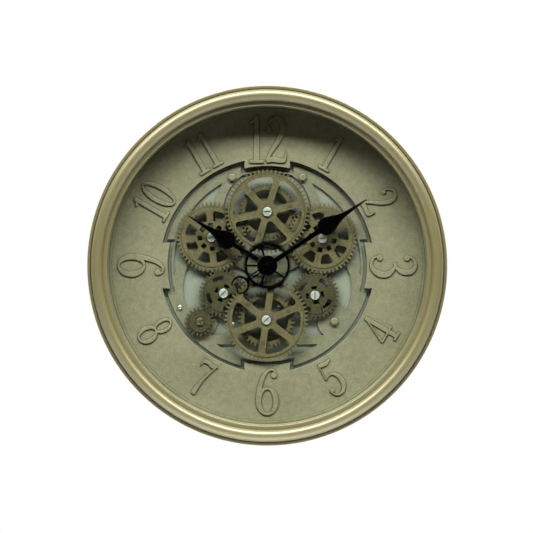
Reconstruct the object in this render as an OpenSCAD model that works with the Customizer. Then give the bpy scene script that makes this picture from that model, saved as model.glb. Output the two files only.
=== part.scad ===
// Round wall clock with a recessed pan of turning gears, raised numerals and spade hands.
// It is drawn face up, with the dial axis on Z and the wall at Z = 0, and hung upright at the end.

/* [Frame] */
// Outside diameter of the frame
frame_d = 460; // [450:1:500]
// Width of the thin outer step
step_w = 3; // [2:0.25:5]
// Rounding of the outer step
step_round = 0.8; // [0.5:0.1:2]
// Height of the outer step in front of the dial's seat
step_h = 6.2; // [5:0.2:9]
// Width of the grooves beside the bead
groove_w = 0.8; // [0.5:0.1:2]
// Depth of the grooves beside the bead
groove_d = 3; // [1:0.25:4]
// Width of the large front bead
bead_w = 15.8; // [12:0.2:18]
// Height of the bead's crest above the lip
bead_rise = 6; // [4:0.5:10]
// Width of the inner lip
lip_w = 5.2; // [4:0.2:8]
// Height of the lip in front of the glass
lip_h = 4.6; // [4:0.2:9]
// Rounding of the lip's edges
lip_round = 1.4; // [0.5:0.1:2]
// Thickness of the frame's side wall
skirt_t = 3; // [2:0.25:4]

/* [Glass] */
// Thickness of the glass
glass_t = 2.5; // [2:0.25:4]
// How far the glass reaches under the lip
glass_lap = 4; // [3:0.25:5]
// Thickness of the gasket behind the glass
gasket_t = 1; // [0.5:0.25:2]
// Width of the gasket
gasket_w = 2.6; // [2:0.1:3]
// Space between the second hand's cap and the glass
glass_gap = 3; // [2.5:0.5:10]

/* [Dial] */
// Thickness of the dial moulding
dial_t = 2.5; // [2:0.25:3]
// Run of the sloped rim round the dial
rim_run = 1; // [0.5:0.1:6]
// Width of the low step inside the sloped rim
rim_step_w = 3.4; // [2:0.1:5]
// Height of that step
rim_step_h = 0.9; // [0.5:0.1:1.5]
// Height that the numerals are raised
numeral_t = 1.8; // [1:0.1:2.5]
// Height of the numerals 12, 3, 6 and 9
large_numeral_h = 62; // [50:1:64]
// Height of the other numerals
small_numeral_h = 49.5; // [40:0.5:54]
// Gap from the large numerals to the sloped rim
large_numeral_gap = 10.4; // [8:0.2:14]
// Gap from the small numerals to the sloped rim
small_numeral_gap = 12; // [8:0.2:16]

/* [Gear pan] */
// Depth of the bridge plate behind the dial's front
pan_depth = 4; // [3:0.25:5]
// Slope of the pan's wall, from its edge to its floor
pan_draft = 0.8; // [0.4:0.2:3]
// Thickness of the pan
pan_t = 2.5; // [2:0.25:3]
// Width of the four tabs of the dial
tab_w = 58.4; // [40:0.5:64]
// How far the tabs reach into the opening
tab_reach = 9.5; // [4:0.5:12]
// Thickness of the bright plate on the floor
floor_t = 0.8; // [0.5:0.1:1.2]
// Thickness of the bridge plate
bridge_t = 2; // [1.5:0.1:2.5]
// Width of the bridge plate's outer ring
bridge_ring_w = 12.4; // [10:0.2:16]
// Strip of the bright plate seen round the bridge plate
floor_strip = 3.6; // [2:0.2:4]
// Width of the band round the upper gear
band_w = 11.5; // [8:0.5:14]
// Radius of the two round pads low on the bridge plate
pad_r = 22; // [18:0.5:24]

/* [Gears] */
// Size of a tooth: pitch diameter over number of teeth
gear_module = 1.75; // [1.6:0.01:1.8]
// Teeth of the large upper and lower gears
big_teeth = 60; // [56:1:62]
// Teeth of the wheels behind the large gears
transfer_teeth = 40; // [38:1:42]
// Teeth of the left and right gears
side_teeth = 50; // [48:1:51]
// Teeth of the small wheels behind the left and right gears
side_rear_teeth = 24; // [22:1:26]
// Teeth of the lower left and lower right gears
small_teeth = 34; // [32:1:35]
// Teeth of the small wheels behind the lower left and lower right gears
small_rear_teeth = 19; // [17:1:20]
// Teeth of the driving pinion
drive_teeth = 20; // [19:1:21]
// Thickness of a toothed wheel
wheel_t = 1.8; // [1.5:0.1:3]
// Height of the raised face of a front wheel
face_t = 0.6; // [0.4:0.1:1]
// Thickness of the small rear wheels
rear_t = 1.8; // [1.5:0.1:3]
// Gap between the layer of side gears and the layer of large gears
layer_gap = 1.4; // [1.2:0.1:3]
// Gap from the large gears' tips to the clock's axis
hub_gap = 15.2; // [14.5:0.1:20]
// Gap from the upper gear's tips to the pan's wall
wall_gap = 13.5; // [12:0.1:16]
// Direction from the upper gear to the left gear
left_dir = 204.6; // [203:0.1:206]
// Direction from the upper gear to the right gear
right_dir = -25.8; // [-27:0.1:-24]
// Direction from the left gear to the lower left gear
lower_left_dir = -77.9; // [-79:0.1:-77]
// Direction from the right gear to the lower right gear
lower_right_dir = 262.5; // [261:0.1:263]
// Direction from the lower left gear to the lower gear
lower_dir = -31.8; // [-33:0.1:-31]
// Direction from the lower left gear to the driving pinion
drive_dir = 230.3; // [229:0.1:232]
// Width of the large gears' spokes
big_spoke_w = 8.4; // [6:0.1:9]
// Width of the side gears' spokes
side_spoke_w = 8.4; // [6:0.1:9]
// Size of the side gears' square holes
square_w = 6.2; // [4:0.1:6.5]

/* [Axles] */
// Diameter of the gear axles
axle_d = 6; // [5:0.25:7]
// Diameter of the axle screws' heads
axle_head_d = 11.8; // [10:0.2:12.5]
// Height of the axle screws' heads
axle_head_h = 2.2; // [1.8:0.2:3.4]
// Diameter of the bosses that carry the axles
boss_d = 14; // [12:0.5:15]
// Height of the short bosses above the bridge plate
boss_h = 0.8; // [0.5:0.1:3]
// Diameter of the rivets in the large gears
rivet_d = 2.2; // [1.8:0.1:3]
// Diameter of the driving shaft
drive_shaft_d = 5; // [4:0.25:6]

/* [Hands] */
// Thickness of the hour and minute hands
hand_t = 1.2; // [0.8:0.1:1.6]
// Thickness of the second hand
second_t = 0.8; // [0.6:0.1:1.2]
// Gap between one turning layer and the next in front of it
hand_gap = 1; // [0.8:0.1:2.5]
// Length of the hour hand
hour_len = 119.8; // [100:0.5:122]
// Length of the minute hand
minute_len = 153; // [130:0.5:170]
// Length of the second hand
second_len = 112; // [90:0.5:150]
// Width of the hands' stems
stem_w = 6.4; // [5:0.2:8]
// Width of the hands' spades
spade_w = 23.8; // [16:0.2:26]
// Distance from the axis to the widest part of the hour hand
hour_belly = 61.5; // [50:0.5:70]
// Distance from the axis to the widest part of the minute hand
minute_belly = 91.5; // [80:0.5:100]
// Width of the slot in the minute hand's stem
slot_w = 2.2; // [1.6:0.1:3]
// Direction of the hour hand, clockwise from 12
hour_angle = 302.3; // [0:0.1:360]
// Direction of the minute hand, clockwise from 12
minute_angle = 56.4; // [0:0.1:360]
// Direction of the second hand, clockwise from 12
second_angle = 54.2; // [0:0.1:360]
// Radius of the hands' round hubs
hub_r = 13.2; // [11:0.1:14]

/* [Centre wheel] */
// Tip radius of the fixed black wheel behind the hands
centre_wheel_r = 31.2; // [28:0.1:34]
// Width of its ring, with the teeth
centre_ring_w = 5.2; // [4:0.1:7]
// Number of its fine teeth
centre_teeth = 88; // [80:1:110]
// Thickness of the black wheel
centre_wheel_t = 1.5; // [1:0.1:2]

/* [Movement] */
// Width and height of the movement's case
movement_w = 56; // [54:0.5:60]
// Depth of the movement and motor cases
movement_t = 16.5; // [16:0.25:20]
// Outside diameter of the threaded bush
bush_d = 9; // [8.5:0.25:11]
// Diameter of the pipe that turns the hour hand
hour_pipe_d = 7; // [6.5:0.1:7.4]
// Diameter of the pipe that turns the minute hand
minute_pipe_d = 4.8; // [4.4:0.1:5]
// Diameter of the arbor that turns the second hand
second_arbor_d = 2.4; // [2:0.1:2.8]
// Diameter of a battery
battery_d = 14.5; // [13.5:0.1:14.7]
// Length of a battery
battery_l = 50.5; // [44:0.5:51]
// Diameter of the setting knob
knob_d = 16; // [12:0.5:20]
// Thickness of the setting knob
knob_t = 2.4; // [1.5:0.1:3]
// Length of the motor's case
motor_l = 82; // [78:0.5:86]
// Width of the motor's case
motor_w = 50; // [48:0.5:54]

/* [Back] */
// Depth of the back cover in front of the wall
cover_recess = 4; // [3.2:0.1:8]
// Thickness of the back cover
cover_t = 2.5; // [2:0.25:4]
// Number of screws in the back cover
cover_screw_n = 8; // [6:1:12]
// Width of the hanger plate
hanger_w = 54; // [44:1:70]
// Height of the hanger plate
hanger_h = 30; // [26:1:40]
// Thickness of the hanger plate
hanger_t = 1.2; // [1:0.1:2]
// Diameter of the keyhole's round entry
key_d = 9; // [7:0.5:11]
// Width of the keyhole's slot
key_slot_w = 4.5; // [3.5:0.25:5.5]
// Length of the keyhole's slot above its entry
key_slot_l = 8; // [6:0.5:10]
// Distance from the frame's outer edge in to the keyhole's entry
key_inset = 50; // [46:1:60]
// How far the cover's screws reach into the frame's posts
cover_screw_grip = 10; // [6:0.5:14]

/* [Clearances] */
// Radial clearance of a part that turns on another
run_clear = 0.05; // [0.02:0.01:0.09]
// End play of a part that turns
end_play = 0.3; // [0.2:0.05:0.5]
// Radial clearance of a pressed or threaded part
press_clear = 0.02; // [0.01:0.01:0.05]
// Clearance round a part that drops into place
drop_clear = 0.5; // [0.3:0.05:1]

/* [Hidden] */
$fn = 96;
over = 1;

// Colours of the finishes
champagne = [0.58, 0.57, 0.44];
gold = [0.62, 0.56, 0.40];
bronze = [0.44, 0.41, 0.28];
steel = [0.66, 0.69, 0.64];
black = [0.05, 0.05, 0.05];
plastic = [0.12, 0.12, 0.12];
brass = [0.60, 0.47, 0.22];

// Tooth form, in tooth sizes and in shares of the pitch
addendum = 0.9;
dedendum = 1.45;
tooth_root = 0.27;
tooth_pitch = 0.2;
tooth_tip = 0.12;
function pitch_r(z) = gear_module * z / 2;
function tip_r(z) = pitch_r(z) + addendum * gear_module;
function root_r(z) = pitch_r(z) - dedendum * gear_module;

// Points
function polar(r, a) = [r * cos(a), r * sin(a)];
function clock(a) = 90 - a;
function arc(c, r, a0, a1, n) = [for (i = [0 : n]) c + polar(r, a0 + (a1 - a0) * i / n)];
function ellipse(c, rx, ry, n) = [for (i = [0 : n - 1]) c + [rx * cos(360 * i / n), ry * sin(360 * i / n)]];
function backwards(p) = [for (i = [len(p) - 1 : -1 : 0]) p[i]];

// Gear centres, each a mesh away from its neighbour
function mesh(za, zb) = pitch_r(za) + pitch_r(zb);
upper_at = [0, hub_gap + tip_r(big_teeth)];
left_at = upper_at + polar(mesh(transfer_teeth, side_teeth), left_dir);
right_at = upper_at + polar(mesh(transfer_teeth, side_teeth), right_dir);
lower_left_at = left_at + polar(mesh(side_teeth, small_teeth), lower_left_dir);
lower_right_at = right_at + polar(mesh(side_teeth, small_teeth), lower_right_dir);
lower_at = lower_left_at + polar(mesh(small_teeth, transfer_teeth), lower_dir);
drive_at = lower_left_at + polar(mesh(small_teeth, drive_teeth), drive_dir);

// Turn of each meshing wheel that puts a gap opposite its neighbour's tooth
function meshed(turn, za, zb, dir) = dir + 180 - 180 / zb + (dir - turn) * za / zb;
upper_turn = 0;
left_turn = meshed(upper_turn, transfer_teeth, side_teeth, left_dir);
right_turn = meshed(upper_turn, transfer_teeth, side_teeth, right_dir);
lower_left_turn = meshed(left_turn, side_teeth, small_teeth, lower_left_dir);
lower_right_turn = meshed(right_turn, side_teeth, small_teeth, lower_right_dir);
lower_turn = meshed(lower_left_turn, small_teeth, transfer_teeth, lower_dir);
drive_turn = meshed(lower_left_turn, small_teeth, drive_teeth, drive_dir);

// Turn of the openings in each wheel, clockwise from 12
upper_web = 16.8;
lower_web = 8.3;
left_web = 18;
right_web = -10;
lower_left_web = -20;
lower_right_web = 37.5;
inner_slot_turn = 45;

// Levels above the wall, from the back to the front
case_z = cover_recess;
cover_front = cover_recess + cover_t;
pan_back = case_z + movement_t;
pan_floor = pan_back + pan_t;
floor_top = pan_floor + floor_t;
bridge_top = floor_top + bridge_t;
boss_top = bridge_top + boss_h;
rear_z = boss_top + end_play;
side_z = rear_z + rear_t;
side_front = side_z + wheel_t + face_t;
side_head_z = side_front + end_play;
big_z = side_front + layer_gap;
big_front = big_z + wheel_t + face_t;
big_head_z = big_front + end_play;
centre_wheel_z = big_front + hand_gap;
hour_z = max(big_head_z + axle_head_h, centre_wheel_z + centre_wheel_t) + hand_gap;
dial_front = bridge_top + pan_depth;
dial_back = dial_front - dial_t;
minute_z = max(hour_z + hand_t, dial_front + numeral_t) + hand_gap;
second_z = minute_z + hand_t + hand_gap;
cap_t = 1.4;
cap_top = second_z + second_t + cap_t;
seat_z = cap_top + glass_gap - gasket_t;
glass_z = seat_z + gasket_t;
glass_front = glass_z + glass_t;
lip_top = glass_front + lip_h;
crest_z = lip_top + bead_rise;
step_z = seat_z + step_h;

// Radii of the frame, from the outside in
frame_r = frame_d / 2;
skirt_in = frame_r - skirt_t;
bead_out = frame_r - step_w - groove_w;
bead_in = bead_out - bead_w;
lip_out = bead_in - groove_w;
lip_in = lip_out - lip_w;
glass_r = lip_in + glass_lap;
dial_flat_r = lip_in - rim_run;
post_d = 10;
post_r = (skirt_in + glass_r) / 2;
post_turn = 180 / cover_screw_n;

// Radii of the pan and the bridge plate
pan_floor_r = upper_at.y + tip_r(big_teeth) + wall_gap;
pan_r = pan_floor_r + pan_draft;
tab_r = pan_r - tab_reach;
tab_draft_r = tab_r - pan_draft;
pan_flange_w = 13;
pan_boss_h = 1.8;
pan_screw_bite = 1.4;
pan_flange_z = dial_back - pan_boss_h - pan_t;
pan_screw_n = 8;
pan_screw_r = pan_r + pan_t + 7;
floor_r = pan_floor_r - drop_clear;
bridge_r = floor_r - floor_strip;
bridge_in = bridge_r - bridge_ring_w;
band_in = tip_r(big_teeth) + 2.4;
side_bar_at = [41.9, -29.6];
side_bar_in = 66.6;
side_bar_w = 12.8;
side_bar_end = 56;
pad_at = [-drive_at.x, drive_at.y];
bar_top = drive_at.y - 17.6;
bar_w = 11.7;
web_half = 62;
web_knee = 42;
web_foot = 18;
web_top = 40;
web_side_y = 16;
web_knee_y = 0.6;

// Screws: thread diameter, head diameter and head height
small_screw = [3, 6, 2];
wood_screw = [3.4, 7, 2];
pin_screw = [3, 5.6, 2.4];
hex_bolt = [5, 11.2, 2.8];
bolt_at = polar(122, 68.2);
motor_screw_at = [drive_at + [-25.9, 18.2], drive_at + [41.7, -3.9]];
movement_screw_at = [14.7, -51.2];
drive_screw_size = [2.4, 9.8, 2.2];

// Places behind the pan
motor_at = drive_at + [9.5, -0.5];
slot_play = 0.5;
contact_t = 0.5;
contact_w = 9;
battery_slot_l = battery_l + 2 * contact_t + 2 * slot_play;
battery_slot_w = battery_d + slot_play;
battery_edge = 2;
movement_battery_at = [0, -movement_w / 2 + battery_edge + battery_slot_w / 2];
motor_battery_at = motor_at + [0, -motor_w / 2 + battery_edge + battery_slot_w / 2];
battery_z = case_z + battery_d / 2 + 0.3;
knob_at = [0, 17];
knob_shaft_d = 3;
knob_depth = 6;
case_wall = 2.5;
works_r = 9;
lug_w = 44;
lug_t = 6.5;
bush_washer_t = 0.6;
bush_nut_t = 3.4;
bush_front = centre_wheel_z + centre_wheel_t - 0.4;
wheel_flange_t = 1.2;
key_r = frame_r - key_inset;
hanger_at = [0, key_r - 2];
hanger_rivet_x = hanger_w * 0.4;
key_room = 3;

// Shared shapes
module at(p, z = 0) {
    translate([p.x, p.y, z]) children();
}

module disc(r, z0, z1) {
    translate([0, 0, z0]) cylinder(r = r, h = z1 - z0);
}

module tube(ro, ri, z0, z1) {
    difference() {
        disc(ro, z0, z1);
        disc(ri, z0 - over, z1 + over);
    }
}

module rounded(w, h, r) {
    polygon(concat(
        arc([w / 2 - r, h / 2 - r], r, 0, 90, 5),
        arc([r - w / 2, h / 2 - r], r, 90, 180, 5),
        arc([r - w / 2, r - h / 2], r, 180, 270, 5),
        arc([w / 2 - r, r - h / 2], r, 270, 360, 5)
    ));
}

module slab(z0, z1) {
    translate([0, 0, z0]) linear_extrude(z1 - z0) children();
}

// A screw standing on a face at z, its head in front of it and its shank behind it
module screw(size, z, length, slot = 1) {
    dome = size[2] * 0.45;
    edge = size[1] / 2;
    crown = (edge * edge + dome * dome) / (2 * dome);
    half = asin(edge / crown);
    difference() {
        rotate_extrude() polygon(concat(
            [[0, z], [edge, z]],
            arc([0, z + size[2] - crown], crown, 90 - half, 90, 6)
        ));
        if (slot > 0) for (a = [0 : 180 / slot : 179]) rotate([0, 0, a])
            translate([-size[1], -size[1] * 0.07, z + size[2] * 0.55])
                cube([2 * size[1], size[1] * 0.14, size[2]]);
    }
    disc(size[0] / 2, z - length, z);
}

module flipped(z) {
    translate([0, 0, z]) rotate([180, 0, 0]) translate([0, 0, -z]) children();
}

module round_about(n, r, turn = 0) {
    for (i = [0 : n - 1]) at(polar(r, turn + 360 * i / n)) children();
}

// Frame, glass and dial
module frame_ring() {
    color(gold) difference() {
        union() {
            rotate_extrude() polygon(concat(
                [[frame_r, 0]],
                arc([frame_r - step_round, step_z - step_round], step_round, 0, 90, 6),
                [[frame_r - step_w, step_z], [frame_r - step_w, step_z - groove_d]],
                [[bead_out, step_z - groove_d]],
                arc([bead_out - bead_w / 2, crest_z - bead_w / 2], bead_w / 2, 0, 180, 24),
                [[bead_in, lip_top - groove_d], [lip_out, lip_top - groove_d]],
                arc([lip_out - lip_round, lip_top - lip_round], lip_round, 0, 90, 5),
                arc([lip_in + lip_round, lip_top - lip_round], lip_round, 90, 180, 5),
                [[lip_in, glass_front], [glass_r + drop_clear, glass_front], [glass_r + drop_clear, seat_z]],
                [[skirt_in, seat_z], [skirt_in, 0]]
            ));
            round_about(cover_screw_n, post_r, post_turn) disc(post_d / 2, cover_front, seat_z + over);
        }
        round_about(cover_screw_n, post_r, post_turn)
            disc(wood_screw[0] / 2 + press_clear, cover_front - over, cover_front + 14);
        round_about(cover_screw_n, post_r) disc(small_screw[0] / 2 + press_clear, seat_z - over, seat_z + 6);
    }
}

module glass() {
    color([0.8, 0.9, 0.9, 0.3]) disc(glass_r, glass_z, glass_front);
}

module glass_gasket() {
    color(plastic) tube(glass_r, glass_r - gasket_w, seat_z, glass_z);
}

// Numerals: strokes of a pen that swells along its path, each point [x, y, width] for a height of 1
function curve(a, b, c, d, t) = 0.5 * (2 * b + (c - a) * t + (2 * a - 5 * b + 4 * c - d) * t * t
    + (3 * b - a - 3 * c + d) * t * t * t);
function pen(p, n = 5) = concat([
    for (i = [0 : len(p) - 2])
        let (a = i > 0 ? p[i - 1] : 2 * p[0] - p[1], d = i < len(p) - 2 ? p[i + 2] : 2 * p[i + 1] - p[i])
        for (j = [0 : n - 1]) curve(a, p[i], p[i + 1], d, j / n)
], [p[len(p) - 1]]);
function edge_of(p, side) = [
    for (i = [0 : len(p) - 1])
        let (d = p[min(i + 1, len(p) - 1)] - p[max(i - 1, 0)], n = [-d.y, d.x] / norm([d.x, d.y]))
        [p[i].x, p[i].y] + side * p[i].z / 2 * n
];

module stroke(p) {
    path = len(p) > 2 ? pen(p) : p;
    polygon(concat(edge_of(path, 1), backwards(edge_of(path, -1))));
}

module bowl(c, outer, inner) {
    difference() {
        polygon(ellipse(c, outer.x, outer.y, 40));
        polygon(ellipse(c, inner.x, inner.y, 32));
    }
}

module ball(p, d) {
    translate(p) circle(d = d);
}

module numeral_0() {
    bowl([0, 0.5], [0.235, 0.5], [0.105, 0.435]);
}

module numeral_1() {
    stroke([[0.01, 0.01, 0.125], [0.01, 0.995, 0.125]]);
    stroke([[-0.145, 0.042, 0.084], [0.165, 0.042, 0.084]]);
    stroke([[0.03, 0.955, 0.08], [-0.07, 0.875, 0.075], [-0.15, 0.845, 0.07]]);
}

module numeral_2() {
    stroke([[-0.185, 0.7, 0.05], [-0.14, 0.86, 0.065], [0, 0.955, 0.085], [0.125, 0.87, 0.125],
        [0.145, 0.71, 0.135], [0.06, 0.49, 0.12], [-0.09, 0.26, 0.09], [-0.175, 0.09, 0.07]]);
    stroke([[-0.205, 0.055, 0.1], [-0.06, 0.085, 0.13], [0.08, 0.055, 0.11], [0.205, 0.065, 0.1]]);
    stroke([[0.19, 0.05, 0.07], [0.21, 0.25, 0.035]]);
    ball([-0.145, 0.7], 0.14);
}

module numeral_3() {
    stroke([[-0.2, 0.79, 0.05], [-0.13, 0.91, 0.06], [0, 0.96, 0.08], [0.12, 0.88, 0.12],
        [0.135, 0.7, 0.125], [0.05, 0.57, 0.08], [-0.06, 0.535, 0.06]]);
    stroke([[-0.05, 0.535, 0.06], [0.07, 0.51, 0.08], [0.175, 0.39, 0.13], [0.185, 0.24, 0.14],
        [0.1, 0.09, 0.11], [-0.03, 0.04, 0.08], [-0.15, 0.09, 0.06], [-0.205, 0.22, 0.05]]);
    ball([-0.155, 0.78], 0.14);
    ball([-0.16, 0.22], 0.14);
}

module numeral_4() {
    stroke([[0.1, 0.985, 0.06], [-0.235, 0.3, 0.06]]);
    stroke([[-0.255, 0.29, 0.075], [0.25, 0.29, 0.075]]);
    stroke([[0.09, 0.01, 0.125], [0.09, 0.995, 0.125]]);
    stroke([[-0.05, 0.04, 0.08], [0.23, 0.04, 0.08]]);
}

module numeral_5() {
    stroke([[-0.15, 0.935, 0.12], [0.03, 0.905, 0.12], [0.185, 0.955, 0.07]]);
    stroke([[-0.15, 0.985, 0.05], [-0.165, 0.53, 0.045]]);
    stroke([[-0.17, 0.525, 0.05], [-0.06, 0.595, 0.06], [0.07, 0.585, 0.08], [0.175, 0.44, 0.13],
        [0.185, 0.25, 0.14], [0.1, 0.09, 0.11], [-0.03, 0.04, 0.08], [-0.15, 0.09, 0.06],
        [-0.205, 0.21, 0.05]]);
    ball([-0.16, 0.215], 0.14);
}

module numeral_6() {
    bowl([0, 0.3], [0.245, 0.3], [0.115, 0.235]);
    stroke([[-0.18, 0.28, 0.12], [-0.17, 0.5, 0.12], [-0.105, 0.76, 0.105], [0.005, 0.925, 0.075],
        [0.11, 0.955, 0.06], [0.185, 0.88, 0.05]]);
    ball([0.14, 0.845], 0.14);
}

module numeral_7() {
    stroke([[-0.2, 0.9, 0.12], [-0.06, 0.925, 0.12], [0.09, 0.89, 0.12], [0.21, 0.955, 0.08]]);
    stroke([[-0.185, 0.985, 0.05], [-0.205, 0.74, 0.035]]);
    stroke([[0.195, 0.945, 0.05], [0.085, 0.66, 0.075], [0.01, 0.36, 0.11], [-0.02, 0.01, 0.14]]);
}

module numeral_8() {
    bowl([0, 0.745], [0.185, 0.255], [0.085, 0.19]);
    bowl([0, 0.28], [0.235, 0.28], [0.11, 0.21]);
}

module numeral_9() {
    translate([0, 1]) rotate(180) numeral_6();
}

module numeral(hour) {
    if (hour == 1) numeral_1();
    if (hour == 2) numeral_2();
    if (hour == 3) numeral_3();
    if (hour == 4) numeral_4();
    if (hour == 5) numeral_5();
    if (hour == 6) numeral_6();
    if (hour == 7) numeral_7();
    if (hour == 8) numeral_8();
    if (hour == 9) numeral_9();
    if (hour >= 10) translate([hour == 11 ? -0.19 : -0.23, 0]) numeral_1();
    if (hour == 10) translate([0.2, 0]) numeral_0();
    if (hour == 11) translate([0.19, 0]) numeral_1();
    if (hour == 12) translate([0.18, 0]) numeral_2();
}

// The numerals from 4 to 8 stand with their heads towards the axis
module numeral_ring() {
    for (hour = [1 : 12]) {
        large = hour % 3 == 0;
        height = large ? large_numeral_h : small_numeral_h;
        outer = dial_flat_r - (large ? large_numeral_gap : small_numeral_gap);
        rotate(-30 * hour)
            if (hour > 3 && hour < 9) translate([0, outer]) rotate(180) scale(height) numeral(hour);
            else translate([0, outer - height]) scale(height) numeral(hour);
    }
}

module tabs(r0, r1, w) {
    for (a = [0 : 90 : 270]) intersection() {
        difference() {
            circle(r1);
            circle(r0);
        }
        rotate(a) translate([0, -w / 2]) square([r1 + over, w]);
    }
}

module dial_plate() {
    color(champagne) {
        difference() {
            union() {
                rotate_extrude() polygon([
                    [pan_r, dial_back], [dial_flat_r + dial_t, dial_back], [lip_in + dial_t, seat_z - dial_t],
                    [skirt_in - drop_clear, seat_z - dial_t], [skirt_in - drop_clear, seat_z],
                    [lip_in, seat_z], [dial_flat_r, dial_front + rim_step_h],
                    [dial_flat_r - rim_step_w, dial_front + rim_step_h],
                    [dial_flat_r - rim_step_w, dial_front], [pan_r, dial_front]
                ]);
                slab(dial_back, dial_front) tabs(tab_r, pan_r + over, tab_w);
                round_about(pan_screw_n, pan_screw_r, 180 / pan_screw_n)
                    disc(small_screw[1] / 2 + 0.6, pan_flange_z + pan_t, dial_back + over);
            }
            round_about(pan_screw_n, pan_screw_r, 180 / pan_screw_n)
                disc(small_screw[0] / 2 + press_clear, pan_flange_z, dial_back + pan_screw_bite);
            round_about(cover_screw_n, post_r, post_turn)
                disc(post_d / 2 + drop_clear, seat_z - dial_t - over, seat_z + over);
            round_about(cover_screw_n, post_r)
                disc(small_screw[0] / 2 + drop_clear, seat_z - dial_t - over, seat_z + over);
        }
        slab(dial_front - over, dial_front + numeral_t) numeral_ring();
    }
}

module dial_screws() {
    color(steel) round_about(cover_screw_n, post_r)
        flipped(seat_z - dial_t) screw(small_screw, seat_z - dial_t, dial_t + 5, 2);
}

// Gear pan, its bright floor and the bridge plate that carries the pads
module pan_wall() {
    rotate_extrude() polygon([
        [pan_floor_r, pan_floor], [pan_floor_r, pan_back], [pan_floor_r + pan_t, pan_back],
        [pan_r + pan_t, dial_back], [pan_r, dial_back]
    ]);
    for (a = [0 : 90 : 270]) rotate([0, 0, a]) intersection() {
        rotate_extrude() polygon([
            [tab_draft_r, pan_back], [tab_draft_r, pan_floor], [tab_r, dial_back],
            [pan_r + pan_t / 2, dial_back], [pan_floor_r + pan_t / 2, pan_back]
        ]);
        translate([0, -tab_w / 2 - pan_draft / 2, pan_back - over])
            cube([pan_r + pan_t + over, tab_w + pan_draft, dial_back - pan_back + 2 * over]);
    }
}

module gear_pan() {
    color(steel) difference() {
        union() {
            disc(pan_floor_r + over, pan_back, pan_floor);
            pan_wall();
            tube(pan_r + pan_t + pan_flange_w, pan_r, pan_flange_z, pan_flange_z + pan_t);
            for (p = [left_at, right_at, lower_left_at, lower_right_at])
                at(p) disc(boss_d / 2, pan_back, boss_top);
            for (p = [upper_at, lower_at])
                at(p) disc(boss_d / 2, pan_back, side_z - end_play);
        }
        for (p = [left_at, right_at, lower_left_at, lower_right_at, upper_at, lower_at])
            at(p) disc(axle_d / 2 + press_clear, pan_back - over, side_z);
        disc(bush_d / 2 + drop_clear, pan_back - over, pan_floor + over);
        at(drive_at) disc(drive_shaft_d / 2 + drop_clear, pan_back - over, pan_floor + over);
        for (p = bolt_places()) at(p) disc(hex_bolt[0] / 2 + press_clear, pan_back - over, pan_floor + over);
        for (p = motor_screw_at) at(p) disc(pin_screw[0] / 2 + drop_clear, pan_back - over, pan_floor + over);
        for (s = [-1, 1]) at([s * movement_screw_at.x, movement_screw_at.y])
            disc(pin_screw[0] / 2 + drop_clear, pan_back - over, pan_floor + over);
        round_about(pan_screw_n, pan_screw_r, 180 / pan_screw_n)
            disc(small_screw[0] / 2 + drop_clear, pan_flange_z - over, pan_flange_z + pan_t + over);
    }
}

module pan_screws() {
    reach = pan_t + pan_boss_h + pan_screw_bite - end_play;
    color(steel) round_about(pan_screw_n, pan_screw_r, 180 / pan_screw_n)
        flipped(pan_flange_z) screw(small_screw, pan_flange_z, reach, 2);
}

function bolt_places() = [bolt_at, [-bolt_at.x, bolt_at.y], pad_at];

// Holes that every plate on the pan's floor leaves for the bosses, shafts and screws
module floor_holes() {
    for (p = [left_at, right_at, lower_left_at, lower_right_at, upper_at, lower_at])
        translate(p) circle(boss_d / 2 + drop_clear);
    circle(bush_d / 2 + drop_clear);
    translate(drive_at) circle(drive_shaft_d / 2 + drop_clear);
    for (p = bolt_places()) translate(p) circle(hex_bolt[0] / 2 + press_clear);
    for (p = motor_screw_at) translate(p) circle(pin_screw[0] / 2 + drop_clear);
    for (s = [-1, 1]) translate([s * movement_screw_at.x, movement_screw_at.y])
        circle(pin_screw[0] / 2 + drop_clear);
}

// A round plate of radius r, cut out round the tabs of the dial with a gap
module inside_tabs(r, gap) {
    difference() {
        circle(r);
        tabs(tab_draft_r - gap, r + over, tab_w + pan_draft + 2 * gap);
    }
}

module floor_plate() {
    color(steel) slab(pan_floor, floor_top) difference() {
        inside_tabs(floor_r, drop_clear);
        floor_holes();
    }
}

module bridge_shape() {
    difference() {
        circle(bridge_r + over);
        circle(bridge_in);
    }
    translate(upper_at) difference() {
        circle(band_in + band_w);
        circle(band_in);
    }
    for (s = [-1, 1]) intersection() {
        translate([s * side_bar_at.x, side_bar_at.y]) difference() {
            circle(side_bar_in + side_bar_w);
            circle(side_bar_in);
        }
        translate([s > 0 ? side_bar_end : -side_bar_end - 2 * bridge_r, pad_at.y])
            square([2 * bridge_r, upper_at.y - pad_at.y]);
    }
    translate(drive_at) circle(pad_r);
    translate(pad_at) circle(pad_r);
    translate([drive_at.x, bar_top - bar_w]) square([pad_at.x - drive_at.x, bar_w]);
    centre_web();
}

// Web between the upper band and the centre, with a shallow V for its lower edge
module centre_web() {
    low = -bush_d - 3;
    side = [[web_foot, low], [web_knee, web_knee_y], [web_half, web_side_y], [web_half, web_top]];
    difference() {
        polygon(concat(side, [for (p = backwards(side)) [-p.x, p.y]]));
        translate(upper_at) circle(band_in + band_w / 2);
    }
}

module bridge_plate() {
    color(champagne) slab(floor_top, bridge_top) difference() {
        intersection() {
            bridge_shape();
            inside_tabs(bridge_r, drop_clear + floor_strip);
        }
        floor_holes();
    }
}

module bridge_bolts() {
    color(steel) for (p = bolt_places()) at(p) {
        disc(hex_bolt[0] / 2, pan_back, bridge_top);
        translate([0, 0, bridge_top]) cylinder(d = hex_bolt[1], h = hex_bolt[2] * 0.7, $fn = 6);
        translate([0, 0, bridge_top + hex_bolt[2] * 0.7])
            cylinder(d1 = hex_bolt[1] * 0.8, d2 = hex_bolt[1] * 0.62, h = hex_bolt[2] * 0.3);
    }
}

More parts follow.
